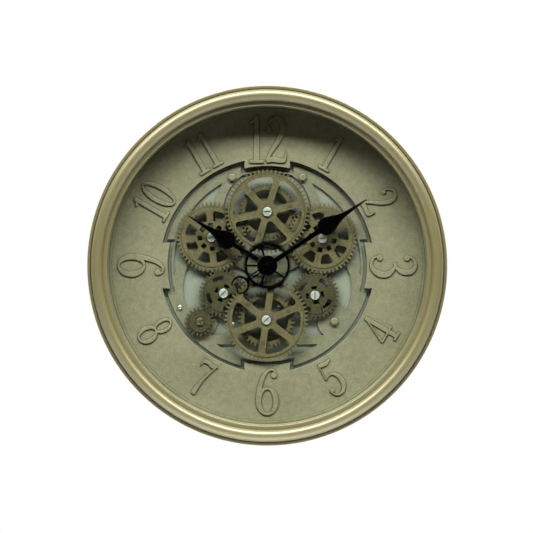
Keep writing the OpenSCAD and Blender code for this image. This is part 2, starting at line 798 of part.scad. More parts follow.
// Back of the clock
module back_cover() {
    color(plastic) slab(cover_recess, cover_front) difference() {
        circle(skirt_in - drop_clear);
        rounded(movement_w + 2 * drop_clear, movement_w + 2 * drop_clear, 3.5);
        translate(motor_at) rounded(motor_l + 2 * drop_clear, motor_w + 2 * drop_clear, 3.5);
        for (i = [0 : cover_screw_n - 1])
            translate(polar(post_r, post_turn + 360 * i / cover_screw_n))
                circle(wood_screw[0] / 2 + drop_clear);
        for (y = [key_r, key_r + key_slot_l]) translate([0, y]) circle(key_d / 2 + key_room);
        for (s = [-1, 1]) translate(hanger_at + [s * hanger_rivet_x, 0]) circle(rivet_d / 2 + press_clear);
    }
}

module cover_screws() {
    color(steel) round_about(cover_screw_n, post_r, post_turn)
        flipped(cover_recess) screw(wood_screw, cover_recess, cover_t + cover_screw_grip, 2);
}

module hanger_plate() {
    color(steel) slab(cover_recess - hanger_t, cover_recess) difference() {
        translate(hanger_at) rounded(hanger_w, hanger_h, 4);
        translate([0, key_r]) circle(key_d / 2);
        translate([-key_slot_w / 2, key_r]) square([key_slot_w, key_slot_l]);
        translate([0, key_r + key_slot_l]) circle(key_slot_w / 2);
        for (s = [-1, 1]) translate(hanger_at + [s * hanger_rivet_x, 0]) circle(rivet_d / 2 + press_clear);
    }
}

module hanger_rivets() {
    color(steel) for (s = [-1, 1]) at(hanger_at + [s * hanger_rivet_x, 0]) {
        disc(rivet_d / 2, cover_recess - hanger_t, cover_front);
        disc(rivet_d, cover_recess - hanger_t - 0.8, cover_recess - hanger_t);
        disc(rivet_d, cover_front, cover_front + 0.8);
    }
}

// Quartz movement
module battery_slot(p) {
    at(p) translate([-battery_slot_l / 2, -battery_slot_w / 2, case_z - over])
        cube([battery_slot_l, battery_slot_w, battery_d + 0.6 + over]);
}

module movement_case() {
    works_back = case_z + case_wall;
    works_front = pan_back - case_wall;
    color(plastic) difference() {
        union() {
            slab(case_z, pan_back) rounded(movement_w, movement_w, 3);
            slab(pan_back - lug_t, pan_back) translate([0, movement_screw_at.y / 2 - 3])
                rounded(lug_w, -movement_screw_at.y + 6, 3);
        }
        disc(works_r, works_back, works_front);
        disc(bush_d / 2 + press_clear, works_front - over, pan_back + over);
        disc(second_arbor_d / 2 + run_clear, works_back - 1, works_back + over);
        at(knob_at) disc(knob_shaft_d / 2 + run_clear, case_z - over, case_z + knob_depth + end_play);
        battery_slot(movement_battery_at);
        for (s = [-1, 1]) at([s * movement_screw_at.x, movement_screw_at.y])
            disc(pin_screw[0] / 2 + press_clear, pan_back - lug_t - over, pan_back + over);
    }
}

module movement_screws() {
    color(steel) for (s = [-1, 1]) at([s * movement_screw_at.x, movement_screw_at.y])
        screw(pin_screw, floor_top, floor_top - pan_back + lug_t - 1, 1);
}

module battery(p) {
    at(p, battery_z) rotate([0, 90, 0]) {
        translate([0, 0, -battery_l / 2]) cylinder(d = battery_d, h = battery_l - 1.2);
        translate([0, 0, battery_l / 2 - 1.2]) cylinder(d = 5.4, h = 1.2);
    }
}

module contacts(p) {
    for (s = [-1, 1]) at(p + [s * (battery_slot_l - contact_t) / 2, 0], battery_z)
        cube([contact_t, contact_w, contact_w], center = true);
}

module movement_battery() {
    color([0.25, 0.25, 0.27]) battery(movement_battery_at);
}

module movement_contacts() {
    color(steel) contacts(movement_battery_at);
}

module centre_bush() {
    color(brass) tube(bush_d / 2, hour_pipe_d / 2 + run_clear, pan_back - case_wall, bush_front);
}

module bush_washer() {
    color(brass) tube(bush_d / 2 + 4.5, bush_d / 2 + press_clear, bridge_top, bridge_top + bush_washer_t);
}

module bush_nut() {
    nut_z = bridge_top + bush_washer_t;
    color(brass) difference() {
        translate([0, 0, nut_z]) cylinder(r = bush_d / 2 + 3, h = bush_nut_t, $fn = 6);
        disc(bush_d / 2 + press_clear, nut_z - over, nut_z + bush_nut_t + over);
    }
}

module centre_wheel() {
    z = centre_wheel_z;
    tooth = 2.3;
    ring_in = centre_wheel_r - centre_ring_w;
    color(black) {
        slab(z, z + centre_wheel_t) difference() {
            union() {
                difference() {
                    polygon([for (i = [0 : centre_teeth - 1], k = [[-0.5, -tooth], [-0.3, -tooth], [-0.22, 0], [0.22, 0], [0.3, -tooth]])
                        polar(centre_wheel_r + k[1], (i + k[0]) * 360 / centre_teeth)]);
                    circle(ring_in);
                }
                for (i = [0 : 4]) rotate(clock(54 + 72 * i)) translate([bush_d / 2, -1.3])
                    square([ring_in + 1 - bush_d / 2, 2.6]);
                circle(bush_d / 2 + 4);
            }
            circle(bush_d / 2 + press_clear);
        }
        tube(bush_d / 2 + 2.5, bush_d / 2 + press_clear, z - 3, z);
    }
}

module setting_knob() {
    top = case_z - end_play;
    color(plastic) at(knob_at) {
        slab(top - knob_t, top) polygon([for (i = [0 : 23], k = [[-0.3, 0.6], [0.3, 0.6], [0.4, 0], [0.6, 0]])
            polar(knob_d / 2 - 0.6 + k[1], (i + k[0]) * 15)]);
        disc(knob_shaft_d / 2, top - 0.2, case_z + knob_depth);
    }
}

// Motor that drives the gears
module motor_case() {
    color(plastic) difference() {
        slab(case_z, pan_back) translate(motor_at) rounded(motor_l, motor_w, 3);
        at(drive_at) disc(drive_shaft_d / 2 + run_clear, pan_back - 9, pan_back + over);
        battery_slot(motor_battery_at);
        for (p = motor_screw_at) at(p) disc(pin_screw[0] / 2 + press_clear, pan_back - 8, pan_back + over);
    }
}

module motor_screws() {
    color(steel) {
        at(motor_screw_at[0]) screw(pin_screw, bridge_top, bridge_top - pan_back + 6, 0);
        at(motor_screw_at[1]) screw(pin_screw, floor_top, floor_top - pan_back + 6, 0);
    }
}

module motor_battery() {
    color([0.25, 0.25, 0.27]) battery(motor_battery_at);
}

module motor_contacts() {
    color(steel) contacts(motor_battery_at);
}

module motor_shaft() {
    color(steel) at(drive_at) difference() {
        disc(drive_shaft_d / 2, pan_back - 8.5, side_front);
        disc(drive_screw_size[0] / 2 + press_clear, side_front - 7, side_front + over);
    }
}

// Axles
module long_axles() {
    color(steel) for (p = [upper_at, lower_at]) at(p) rotate([0, 0, p.y > 0 ? 4 : 45])
        screw([axle_d, axle_head_d, axle_head_h], big_head_z, big_head_z - pan_back);
}

module short_axles() {
    slots = [[left_at, 30], [right_at, 10], [lower_left_at, 45], [lower_right_at, 90]];
    color(steel) for (s = slots) at(s[0]) rotate([0, 0, s[1]])
        screw([axle_d, axle_head_d, axle_head_h], side_head_z, side_head_z - pan_back);
}

// Gears
function outline(z) = [
    for (i = [0 : z - 1], k = [
        [-tooth_root, root_r(z)], [-tooth_pitch, pitch_r(z)], [-tooth_tip, tip_r(z)],
        [tooth_tip, tip_r(z)], [tooth_pitch, pitch_r(z)], [tooth_root, root_r(z)]
    ]) polar(k[1], (i + k[0]) * 360 / z)
];

// Opening between two spokes out of n, from r0 to r1, with corner radii f0 and f1
function window(n, r0, r1, w, f0, f1) =
    let (a = 180 / n, o = a - asin((w / 2 + f1) / (r1 - f1)), i = a - asin((w / 2 + f0) / (r0 + f0)))
    concat(
        arc([0, 0], r1, -o, o, 5),
        arc(polar(r1 - f1, o), f1, o, a + 90, 5),
        arc(polar(r0 + f0, i), f0, a + 90, i + 180, 4),
        arc([0, 0], r0, i, -i, 3),
        arc(polar(r0 + f0, -i), f0, 180 - i, 270 - a, 4),
        arc(polar(r1 - f1, -o), f1, -a - 90, -o, 5)
    );

module windows(n, r0, r1, w, f0, f1, turn) {
    for (i = [0 : n - 1]) rotate(turn + 360 * i / n) polygon(window(n, r0, r1, w, f0, f1));
}

module slots(n, r0, r1, half, turn) {
    for (i = [0 : n - 1]) rotate(turn + 360 * i / n)
        polygon(concat(arc([0, 0], r1, -half, half, 8), arc([0, 0], r0, half, -half, 8)));
}

// A front wheel: toothed disc, raised face, and whatever openings are given as children
module front_wheel(z, teeth_z, turn, face_r, bore) {
    difference() {
        union() {
            slab(teeth_z, teeth_z + wheel_t) rotate(turn) polygon(outline(z));
            disc(face_r, teeth_z + wheel_t - over, teeth_z + wheel_t + face_t);
        }
        slab(teeth_z - over, teeth_z + wheel_t + face_t + over) children();
        disc(bore, teeth_z - over, teeth_z + wheel_t + face_t + over);
    }
}

module rear_wheel(z, turn, bore) {
    difference() {
        slab(rear_z, side_z) rotate(turn) polygon(outline(z));
        slab(rear_z - over, side_z + over) children();
        disc(bore, rear_z - over, side_z + over);
    }
}

axle_bore = axle_d / 2 + run_clear;
web_n = 6;
web_in = 12.8;
big_face_r = root_r(big_teeth) - 2.3;
big_web_out = big_face_r - 3.4;
rivet_r = root_r(transfer_teeth) - 2.3;
transfer_web_out = rivet_r - rivet_d / 2 - 0.7;
transfer_hub_r = web_in - 1;

module rivet_holes(web) {
    for (i = [0 : 2]) rotate(clock(web + 60 + 120 * i)) translate([rivet_r, 0])
        circle(rivet_d / 2 + press_clear);
}

module big_gear(web) {
    color(bronze) front_wheel(big_teeth, big_z, 0, big_face_r, axle_bore) {
        windows(web_n, web_in, big_web_out, big_spoke_w, 1, 4, clock(web + 30));
        rivet_holes(web);
    }
}

module transfer_gear(web, turn) {
    color(bronze) difference() {
        union() {
            slab(side_z, side_z + wheel_t) difference() {
                rotate(turn) polygon(outline(transfer_teeth));
                windows(web_n, web_in, transfer_web_out, big_spoke_w, 1, 3, clock(web + 30));
                rivet_holes(web);
            }
            disc(transfer_hub_r, side_z + wheel_t - over, big_z);
        }
        disc(axle_bore, side_z - over, big_z + over);
    }
}

module gear_rivets(web) {
    color(steel) for (i = [0 : 2]) at(polar(rivet_r, clock(web + 60 + 120 * i))) {
        disc(rivet_d / 2, side_z, big_front);
        disc(rivet_d / 2 + 0.4, side_z + wheel_t, big_z);
        disc(rivet_d / 2 + 0.4, big_front, big_front + 0.5);
    }
}

side_face_r = root_r(side_teeth) - 2.8;
side_web_out = side_face_r - 4.6;
side_web_in = tip_r(side_rear_teeth) - 1.8;
square_r = side_web_in - square_w / 2 - 2.7;

module side_squares(web) {
    for (i = [0 : 7]) rotate(clock(web + 22.5 + 45 * i))
        translate([square_r - square_w / 2, -square_w / 2]) square(square_w);
}

module side_gear(web, turn) {
    color(bronze) front_wheel(side_teeth, side_z, turn, side_face_r, axle_bore) {
        windows(8, side_web_in, side_web_out, side_spoke_w, 1.2, 2.4, clock(web));
        side_squares(web);
    }
}

module side_rear_gear(web) {
    color(bronze) rear_wheel(side_rear_teeth, 0, axle_bore) intersection() {
        side_squares(web);
        circle(root_r(side_rear_teeth) - 1.8);
    }
}

small_face_r = root_r(small_teeth) - 3;
small_slot_out = small_face_r - 1.4;
small_slot_in = tip_r(small_rear_teeth) - 0.9;
inner_slot_out = root_r(small_rear_teeth) - 2.4;
inner_slot_in = axle_head_d / 2 + 1.8;
slot_half = 21;

module small_gear(web, inner, turn) {
    color(bronze) front_wheel(small_teeth, side_z, turn, small_face_r, axle_bore) {
        slots(4, small_slot_in, small_slot_out, slot_half, clock(web));
        slots(4, inner_slot_in, inner_slot_out, slot_half, clock(inner));
    }
}

module small_rear_gear(inner) {
    color(bronze) rear_wheel(small_rear_teeth, 0, axle_bore)
        slots(4, inner_slot_in, inner_slot_out, slot_half, clock(inner));
}

module upper_gear() {
    at(upper_at) big_gear(upper_web);
}

module upper_rear_gear() {
    at(upper_at) transfer_gear(upper_web, upper_turn);
}

module upper_rivets() {
    at(upper_at) gear_rivets(upper_web);
}

module lower_gear() {
    at(lower_at) big_gear(lower_web);
}

module lower_rear_gear() {
    at(lower_at) transfer_gear(lower_web, lower_turn);
}

module lower_rivets() {
    at(lower_at) gear_rivets(lower_web);
}

module left_gear() {
    at(left_at) side_gear(left_web, left_turn);
}

module left_rear_gear() {
    at(left_at) side_rear_gear(left_web);
}

module right_gear() {
    at(right_at) side_gear(right_web, right_turn);
}

module right_rear_gear() {
    at(right_at) side_rear_gear(right_web);
}

module lower_left_gear() {
    at(lower_left_at) small_gear(lower_left_web, lower_left_web + inner_slot_turn, lower_left_turn);
}

module lower_left_rear_gear() {
    at(lower_left_at) small_rear_gear(lower_left_web + inner_slot_turn);
}

module lower_right_gear() {
    at(lower_right_at) small_gear(lower_right_web, lower_right_web + inner_slot_turn, lower_right_turn);
}

module lower_right_rear_gear() {
    at(lower_right_at) small_rear_gear(lower_right_web + inner_slot_turn);
}

module drive_pinion() {
    bore = drive_shaft_d / 2 + press_clear;
    color(bronze) at(drive_at) {
        front_wheel(drive_teeth, side_z, drive_turn, root_r(drive_teeth) - 1.2, bore);
        tube(drive_shaft_d / 2 + 4, bore, bridge_top + end_play, side_z);
    }
}

module drive_screw() {
    color(brass) at(drive_at) rotate([0, 0, 20]) screw(drive_screw_size, side_front, 6, 2);
}

// Hands, drawn pointing to 12
module spade(belly, tip) {
    back = spade_w * 0.52;
    swell = 0.255;
    blade = 0.4;
    tip_w = 1.4;
    taper = [for (i = [0 : 20]) let (t = i / 20, bulge = (1 - blade) * exp(-pow(t / swell, 2)))
        [spade_w / 2 * (bulge + blade * (1 - t)) + tip_w / 2 * t, belly + (tip - belly) * t]];
    polygon(concat(
        taper,
        backwards([for (p = taper) [-p.x, p.y]]),
        [for (i = [1 : 11]) [spade_w / 2 * cos(180 + 15 * i), belly + back * sin(180 + 15 * i)]]
    ));
}

module hour_hand() {
    color(black) slab(hour_z, hour_z + hand_t) rotate(-hour_angle) difference() {
        union() {
            circle(hub_r - 1);
            translate([-stem_w / 2, 0]) square([stem_w, hour_belly]);
            spade(hour_belly, hour_len);
        }
        circle(hour_pipe_d / 2 + press_clear);
    }
}

module minute_hand() {
    slot_start = centre_wheel_r + 2;
    color(black) slab(minute_z, minute_z + hand_t) rotate(-minute_angle) difference() {
        union() {
            circle(hub_r);
            translate([-stem_w / 2, 0]) square([stem_w, minute_belly]);
            spade(minute_belly, minute_len);
        }
        circle(minute_pipe_d / 2 + press_clear);
        translate([-slot_w / 2, slot_start]) square([slot_w, minute_belly - spade_w * 0.52 - slot_start]);
    }
}

module second_hand() {
    needle = 1.2;
    rail = 1.9;
    knot = 30;
    moon_at = 42.3;
    moon_r = 11.8;
    moon_w = 3.2;
    horn_w = 1.6;
    moon_gap = 60;
    color(black) rotate([0, 0, -second_angle]) {
        slab(second_z, second_z + second_t) difference() {
            union() {
                circle(minute_pipe_d);
                polygon([[-needle / 2, 0], [needle / 2, 0],
                    [needle * 0.3, second_len], [-needle * 0.3, second_len]]);
                for (s = [-1, 1]) polygon([[s * 3.2, 0], [s * (3.2 - rail), 0],
                    [s * (2.7 - rail), -knot], [s * 2.7, -knot]]);
                translate([0, -knot]) circle(2.7);
                translate([0, -moon_at]) difference() {
                    circle(moon_r);
                    translate([0, (horn_w - moon_w) / 2]) circle(moon_r - (moon_w + horn_w) / 2);
                    polygon([[0, 0], polar(2 * moon_r, 270 - moon_gap / 2), polar(2 * moon_r, 270 + moon_gap / 2)]);
                }
            }
            circle(second_arbor_d / 2 + press_clear);
        }
        disc(second_arbor_d / 2 + 1.4, second_z + second_t, cap_top);
    }
}

// Pipes and arbor of the movement, each with the wheel that holds it in the case
module hour_pipe() {
    z = pan_back - case_wall - end_play;
    color(brass) difference() {
        union() {
            disc(hour_pipe_d / 2, z - wheel_flange_t, hour_z + hand_t);
            disc(works_r - 2, z - wheel_flange_t, z);
        }
        disc(minute_pipe_d / 2 + run_clear, z - wheel_flange_t - over, hour_z + hand_t + over);
    }
}

module minute_pipe() {
    z = pan_back - case_wall - 2 * end_play - wheel_flange_t;
    color(brass) difference() {
        union() {
            disc(minute_pipe_d / 2, z - wheel_flange_t, minute_z + hand_t);
            disc(works_r - 1.5, z - wheel_flange_t, z);
        }
        disc(second_arbor_d / 2 + run_clear, z - wheel_flange_t - over, minute_z + hand_t + over);
    }
}

module second_arbor() {
    z = pan_back - case_wall - 3 * end_play - 2 * wheel_flange_t;
    color(steel) {
        disc(second_arbor_d / 2, case_z + case_wall - 0.9, second_z + second_t);
        disc(works_r - 1, z - wheel_flange_t, z);
    }
}

module hang() {
    rotate([90, 0, 0]) children();
}

hang() frame_ring();
hang() glass();
hang() glass_gasket();
hang() dial_plate();
hang() dial_screws();
hang() gear_pan();
hang() pan_screws();
hang() floor_plate();
hang() bridge_plate();
hang() bridge_bolts();
hang() back_cover();
hang() cover_screws();
hang() hanger_plate();
hang() hanger_rivets();
hang() movement_case();
hang() movement_screws();
hang() movement_battery();
hang() movement_contacts();
hang() centre_bush();
hang() bush_washer();
hang() bush_nut();
hang() centre_wheel();
hang() motor_case();
hang() motor_screws();
hang() motor_battery();
hang() motor_contacts();
hang() long_axles();
hang() short_axles();
hang() upper_gear();
hang() upper_rear_gear();
hang() upper_rivets();
hang() lower_gear();
hang() lower_rear_gear();
hang() lower_rivets();
hang() left_gear();
hang() left_rear_gear();
hang() right_gear();
hang() right_rear_gear();
hang() lower_left_gear();
hang() lower_left_rear_gear();
hang() lower_right_gear();
hang() lower_right_rear_gear();
hang() drive_pinion();
hang() drive_screw();
hang() motor_shaft();
hang() hour_hand();
hang() hour_pipe();
hang() minute_hand();
hang() minute_pipe();
hang() second_hand();
hang() second_arbor();
hang() setting_knob();
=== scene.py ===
# A round wall clock with turning gears behind its glass, dressed piece by piece from the wall outwards.
import math

import bmesh
import bpy
from mathutils import Matrix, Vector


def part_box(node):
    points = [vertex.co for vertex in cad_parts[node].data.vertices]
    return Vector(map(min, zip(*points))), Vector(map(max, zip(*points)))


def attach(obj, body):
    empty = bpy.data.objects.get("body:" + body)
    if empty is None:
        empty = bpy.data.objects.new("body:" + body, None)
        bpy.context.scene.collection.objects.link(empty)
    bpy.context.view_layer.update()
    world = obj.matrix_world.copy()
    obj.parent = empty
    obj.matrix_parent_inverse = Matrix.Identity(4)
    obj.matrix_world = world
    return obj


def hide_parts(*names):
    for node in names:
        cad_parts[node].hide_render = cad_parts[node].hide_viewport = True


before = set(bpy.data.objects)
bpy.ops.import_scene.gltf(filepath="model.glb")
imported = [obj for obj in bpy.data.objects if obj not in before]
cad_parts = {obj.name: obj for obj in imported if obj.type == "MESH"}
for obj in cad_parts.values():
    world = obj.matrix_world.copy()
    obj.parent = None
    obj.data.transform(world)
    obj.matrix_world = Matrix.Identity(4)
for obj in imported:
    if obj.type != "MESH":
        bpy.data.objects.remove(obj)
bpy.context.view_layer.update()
scene = bpy.context.scene


# Back cover: a flat round panel of black moulded plastic with a fine grain.
# It drops into the back of the frame and is held by screws round its edge.
def shade(red, green, blue):
    """A screen colour from 0 to 255 as the linear colour that a shader takes."""
    linear = [c / 255 / 12.92 if c <= 10 else ((c / 255 + 0.055) / 1.055) ** 2.4 for c in (red, green, blue)]
    return (*linear, 1.0)


def new_finish(name, colour, metallic, roughness, specular=0.5):
    """A material with one Principled shader, and the tree and shader to build on."""
    finish = bpy.data.materials.new(name)
    finish.use_nodes = True
    finish.diffuse_color = colour
    tree = finish.node_tree
    surface = tree.nodes["Principled BSDF"]
    surface.inputs["Base Color"].default_value = colour
    surface.inputs["Metallic"].default_value = metallic
    surface.inputs["Roughness"].default_value = roughness
    surface.inputs["Specular IOR Level"].default_value = specular
    return finish, tree, surface


def node(tree, kind, **settings):
    """A new node; a setting names a property of the node, or one of its input sockets."""
    made = tree.nodes.new(kind)
    for name, value in settings.items():
        if name in made.bl_rna.properties:
            setattr(made, name, value)
        else:
            made.inputs[name.replace("_", " ")].default_value = value
    return made


def new_effect(name, inputs, outputs):
    """An empty shader group with named number inputs and named outputs, and its two end nodes."""
    group = bpy.data.node_groups.new(name, "ShaderNodeTree")
    for label, value in inputs:
        socket = group.interface.new_socket(label, in_out="INPUT", socket_type="NodeSocketFloat")
        socket.default_value = value
    for label in outputs:
        group.interface.new_socket(label, in_out="OUTPUT", socket_type="NodeSocketFloat")
    return group, group.nodes.new("NodeGroupInput"), group.nodes.new("NodeGroupOutput")


def effect(tree, group, **values):
    """Places a shader group in a material with its own values."""
    placed = tree.nodes.new("ShaderNodeGroup")
    placed.node_tree = group
    for name, value in values.items():
        placed.inputs[name].default_value = value
    return placed


# Fine grain of a sprayed or moulded skin: soft grains and flat flakes, each a little lighter or darker
grain, g_in, g_out = new_effect("grain", [("Scale", 900.0), ("Flakes", 0.5)], ["Tone", "Height"])
g_at = node(grain, "ShaderNodeTexCoord")
g_soft = node(grain, "ShaderNodeTexNoise", Detail=3.0, Roughness=0.6)
g_flake = node(grain, "ShaderNodeTexVoronoi")
g_pick = node(grain, "ShaderNodeSeparateColor")
g_tone = node(grain, "ShaderNodeMix")
for picture in (g_soft, g_flake):
    grain.links.new(g_at.outputs["Object"], picture.inputs["Vector"])
    grain.links.new(g_in.outputs["Scale"], picture.inputs["Scale"])
grain.links.new(g_flake.outputs["Color"], g_pick.inputs["Color"])
grain.links.new(g_in.outputs["Flakes"], g_tone.inputs["Factor"])
grain.links.new(g_soft.outputs["Fac"], g_tone.inputs["A"])
grain.links.new(g_pick.outputs["Red"], g_tone.inputs["B"])
grain.links.new(g_tone.outputs["Result"], g_out.inputs["Tone"])
grain.links.new(g_soft.outputs["Fac"], g_out.inputs["Height"])


def toned(tree, surface, tone, dark, light, low=0.25, high=0.75):
    """Colours a shader between two shades by a tone from 0 to 1, and returns the ramp."""
    ramp = node(tree, "ShaderNodeValToRGB")
    ramp.color_ramp.elements[0].position, ramp.color_ramp.elements[0].color = low, dark
    ramp.color_ramp.elements[1].position, ramp.color_ramp.elements[1].color = high, light
    tree.links.new(tone, ramp.inputs["Fac"])
    tree.links.new(ramp.outputs["Color"], surface.inputs["Base Color"])
    return ramp


def bumped(tree, surface, height, strength, distance):
    """Feeds a height to a shader's normal."""
    bump = node(tree, "ShaderNodeBump", Strength=strength, Distance=distance)
    tree.links.new(height, bump.inputs["Height"])
    tree.links.new(bump.outputs["Normal"], surface.inputs["Normal"])


def spread(tree, surface, tone, low, high):
    """Varies a shader's roughness between two values by a tone from 0 to 1."""
    between = node(tree, "ShaderNodeMapRange", To_Min=low, To_Max=high)
    tree.links.new(tone, between.inputs["Value"])
    tree.links.new(between.outputs["Result"], surface.inputs["Roughness"])


black_moulding, tree, surface = new_finish("black_moulding", shade(34, 34, 35), metallic=0.0, roughness=0.5)
skin = effect(tree, grain, Scale=1400.0, Flakes=0.2)
toned(tree, surface, skin.outputs["Tone"], shade(26, 26, 27), shade(44, 44, 45))
spread(tree, surface, skin.outputs["Tone"], 0.42, 0.62)
bumped(tree, surface, skin.outputs["Height"], 0.25, 0.0003)


def finished(material, *names):
    """Gives CAD nodes that keep their shape a finish of their own."""
    for name in names:
        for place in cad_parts[name].material_slots:
            place.material = material


same_point, sharp_from = 2e-6, math.radians(50)


def settle(piece, again=False):
    """Turns what a piece's modifiers make into its plain mesh, smooth between sharp edges."""
    view = bpy.context.evaluated_depsgraph_get()
    mesh = bpy.data.meshes.new_from_object(piece.evaluated_get(view), depsgraph=view)
    piece.modifiers.clear()
    piece.data = mesh
    if not again:
        mesh.shade_smooth()
        mesh.set_sharp_from_angle(angle=sharp_from)


def softened(node_name, name, width, segments=2, flat=35, drop=None):
    """A copy of a CAD node with its doubles merged and its sharp edges rounded over."""
    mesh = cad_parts[node_name].data.copy()
    mesh.name = name
    mesh.materials.clear()
    work = bmesh.new()
    work.from_mesh(mesh)
    bmesh.ops.remove_doubles(work, verts=work.verts, dist=same_point)
    if drop:
        bmesh.ops.delete(work, geom=[f for f in work.faces if drop(f)], context="FACES")
    bmesh.ops.dissolve_degenerate(work, dist=same_point / 2, edges=work.edges)
    nearly_flat = math.radians(0.6)
    bmesh.ops.dissolve_limit(work, angle_limit=nearly_flat, verts=work.verts, edges=work.edges)
    work.to_mesh(mesh)
    work.free()
    piece = bpy.data.objects.new(name, mesh)
    scene.collection.objects.link(piece)
    round_over = piece.modifiers.new("round_over", "BEVEL")
    round_over.width = width
    round_over.segments = segments
    round_over.limit_method = "ANGLE"
    round_over.angle_limit = math.radians(flat)
    round_over.miter_outer = "MITER_ARC"
    settle(piece)
    even = piece.modifiers.new("even", "WEIGHTED_NORMAL")
    even.keep_sharp = True
    settle(piece, again=True)
    return piece


def placed(piece, material, slot, body, *nodes):
    """Finishes a new piece, and puts it on its body in place of CAD nodes."""
    if material is not None:
        piece.data.materials.clear()
        piece.data.materials.append(material)
    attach(piece, body)
    if nodes:
        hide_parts(*nodes)


cover_edge = 0.0004
placed(softened("back_cover", "cover_panel", cover_edge), black_moulding, "dark_plastic", "case", "back_cover")


# Hanger: a zinc-plated steel plate with a keyhole, riveted to the back cover behind 12 o'clock.
# The cover's own screws are plated too: pan heads with a cross slot, one in every post of the frame.
zinc, tree, surface = new_finish("zinc_plate", shade(168, 172, 168), metallic=0.7, roughness=0.38)
spangle = effect(tree, grain, Scale=260.0, Flakes=0.8)
toned(tree, surface, spangle.outputs["Tone"], shade(150, 153, 150), shade(184, 188, 184))
spread(tree, surface, spangle.outputs["Tone"], 0.3, 0.46)
plate_edge = 0.0002
placed(softened("hanger_plate", "keyhole_plate", plate_edge), zinc, "steel", "case", "hanger_plate")
finished(zinc, "hanger_rivets")


def new_maker(name, inputs):
    """An empty geometry tree with named inputs, and its two end nodes."""
    maker = bpy.data.node_groups.new(name, "GeometryNodeTree")
    maker.is_modifier = True
    maker.interface.new_socket("Geometry", in_out="INPUT", socket_type="NodeSocketGeometry")
    for label, kind, value in inputs:
        socket = maker.interface.new_socket(label, in_out="INPUT", socket_type="NodeSocket" + kind)
        if value is not None:
            socket.default_value = value
    maker.interface.new_socket("Geometry", in_out="OUTPUT", socket_type="NodeSocketGeometry")
    return maker, maker.nodes.new("NodeGroupInput"), maker.nodes.new("NodeGroupOutput")


def joined(maker, source, target):
    """Links one socket of a geometry tree to another."""
    maker.links.new(source, target)


def grown(name, points, faces, maker, **sizes):
    """A plain mesh that a geometry tree makes from a seed mesh of points or edges."""
    seed = bpy.data.meshes.new(name)
    seed.from_pydata([tuple(p[:3]) for p in points], faces, [])
    if len(points[0]) > 3:
        turn = seed.attributes.new("turn", "FLOAT", "POINT")
        turn.data.foreach_set("value", [p[3] for p in points])
    piece = bpy.data.objects.new(name, seed)
    scene.collection.objects.link(piece)
    make = piece.modifiers.new("make", "NODES")
    make.node_group = maker
    for item in maker.interface.items_tree:
        if item.in_out == "INPUT" and item.name in sizes:
            make[item.identifier] = sizes[item.name]
    settle(piece)
    return piece


# One domed screw, cut by one slot or two, stood on every point of the seed and turned by the point's own turn
screws, s_in, s_out = new_maker("domed_screws", [
    ("Head", "Float", 0.003), ("Dome", "Float", 0.002), ("Shank", "Float", 0.0015), ("Length", "Float", 0.01),
    ("Slot", "Float", 0.0006), ("Cross", "Float", 1.0), ("Facing", "Vector", None), ("Finish", "Material", None)])


def math_node(maker, operation, a, b=None, c=None):
    """A number worked out inside a tree from sockets or plain values."""
    made = node(maker, "ShaderNodeMath", operation=operation)
    for socket, value in zip(made.inputs, (a, b, c)):
        if value is None:
            continue
        if isinstance(value, (int, float)):
            socket.default_value = value
        else:
            maker.links.new(value, socket)
    return made.outputs[0]


def vector_node(maker, x, y, z):
    """A vector put together inside a tree from sockets or plain values."""
    made = node(maker, "ShaderNodeCombineXYZ")
    for socket, value in zip(made.inputs, (x, y, z)):
        if isinstance(value, (int, float)):
            socket.default_value = value
        else:
            maker.links.new(value, socket)
    return made.outputs[0]


ball = node(screws, "GeometryNodeMeshUVSphere", Segments=40, Rings=24, Radius=1.0)
half = node(screws, "GeometryNodeTransform")
cut_off = node(screws, "GeometryNodeMeshCube")
joined(screws, ball.outputs["Mesh"], half.inputs["Geometry"])
head_size = vector_node(screws, s_in.outputs["Head"], s_in.outputs["Head"], s_in.outputs["Dome"])
joined(screws, head_size, half.inputs["Scale"])
block_heads, slot_domes = 4.0, 1.1
cut_size = math_node(screws, "MULTIPLY", s_in.outputs["Head"], block_heads)
joined(screws, vector_node(screws, cut_size, cut_size, cut_size), cut_off.inputs["Size"])
below = node(screws, "GeometryNodeTransform")
joined(screws, cut_off.outputs["Mesh"], below.inputs["Geometry"])
joined(screws, vector_node(screws, 0.0, 0.0, math_node(screws, "MULTIPLY", s_in.outputs["Head"], -block_heads / 2)),
       below.inputs["Translation"])
slot_box = node(screws, "GeometryNodeMeshCube")
slot_high = math_node(screws, "MULTIPLY", s_in.outputs["Dome"], slot_domes)
joined(screws, vector_node(screws, cut_size, s_in.outputs["Slot"], slot_high), slot_box.inputs["Size"])
slot_one = node(screws, "GeometryNodeTransform")
joined(screws, slot_box.outputs["Mesh"], slot_one.inputs["Geometry"])
joined(screws, vector_node(screws, 0.0, 0.0, s_in.outputs["Dome"]), slot_one.inputs["Translation"])
slot_two = node(screws, "GeometryNodeTransform", Rotation=(0, 0, math.pi / 2))
joined(screws, slot_one.outputs["Geometry"], slot_two.inputs["Geometry"])
crossed = node(screws, "GeometryNodeSwitch", input_type="GEOMETRY")
joined(screws, math_node(screws, "GREATER_THAN", s_in.outputs["Cross"], 0.5), crossed.inputs["Switch"])
joined(screws, slot_two.outputs["Geometry"], crossed.inputs["True"])
cut = node(screws, "GeometryNodeMeshBoolean", operation="DIFFERENCE")
joined(screws, half.outputs["Geometry"], cut.inputs["Mesh 1"])
for tool in (below, slot_one, crossed):
    joined(screws, tool.outputs[0], cut.inputs["Mesh 2"])
rod = node(screws, "GeometryNodeMeshCylinder", Vertices=24)
joined(screws, s_in.outputs["Shank"], rod.inputs["Radius"])
joined(screws, s_in.outputs["Length"], rod.inputs["Depth"])
rod_down = node(screws, "GeometryNodeTransform")
joined(screws, rod.outputs["Mesh"], rod_down.inputs["Geometry"])
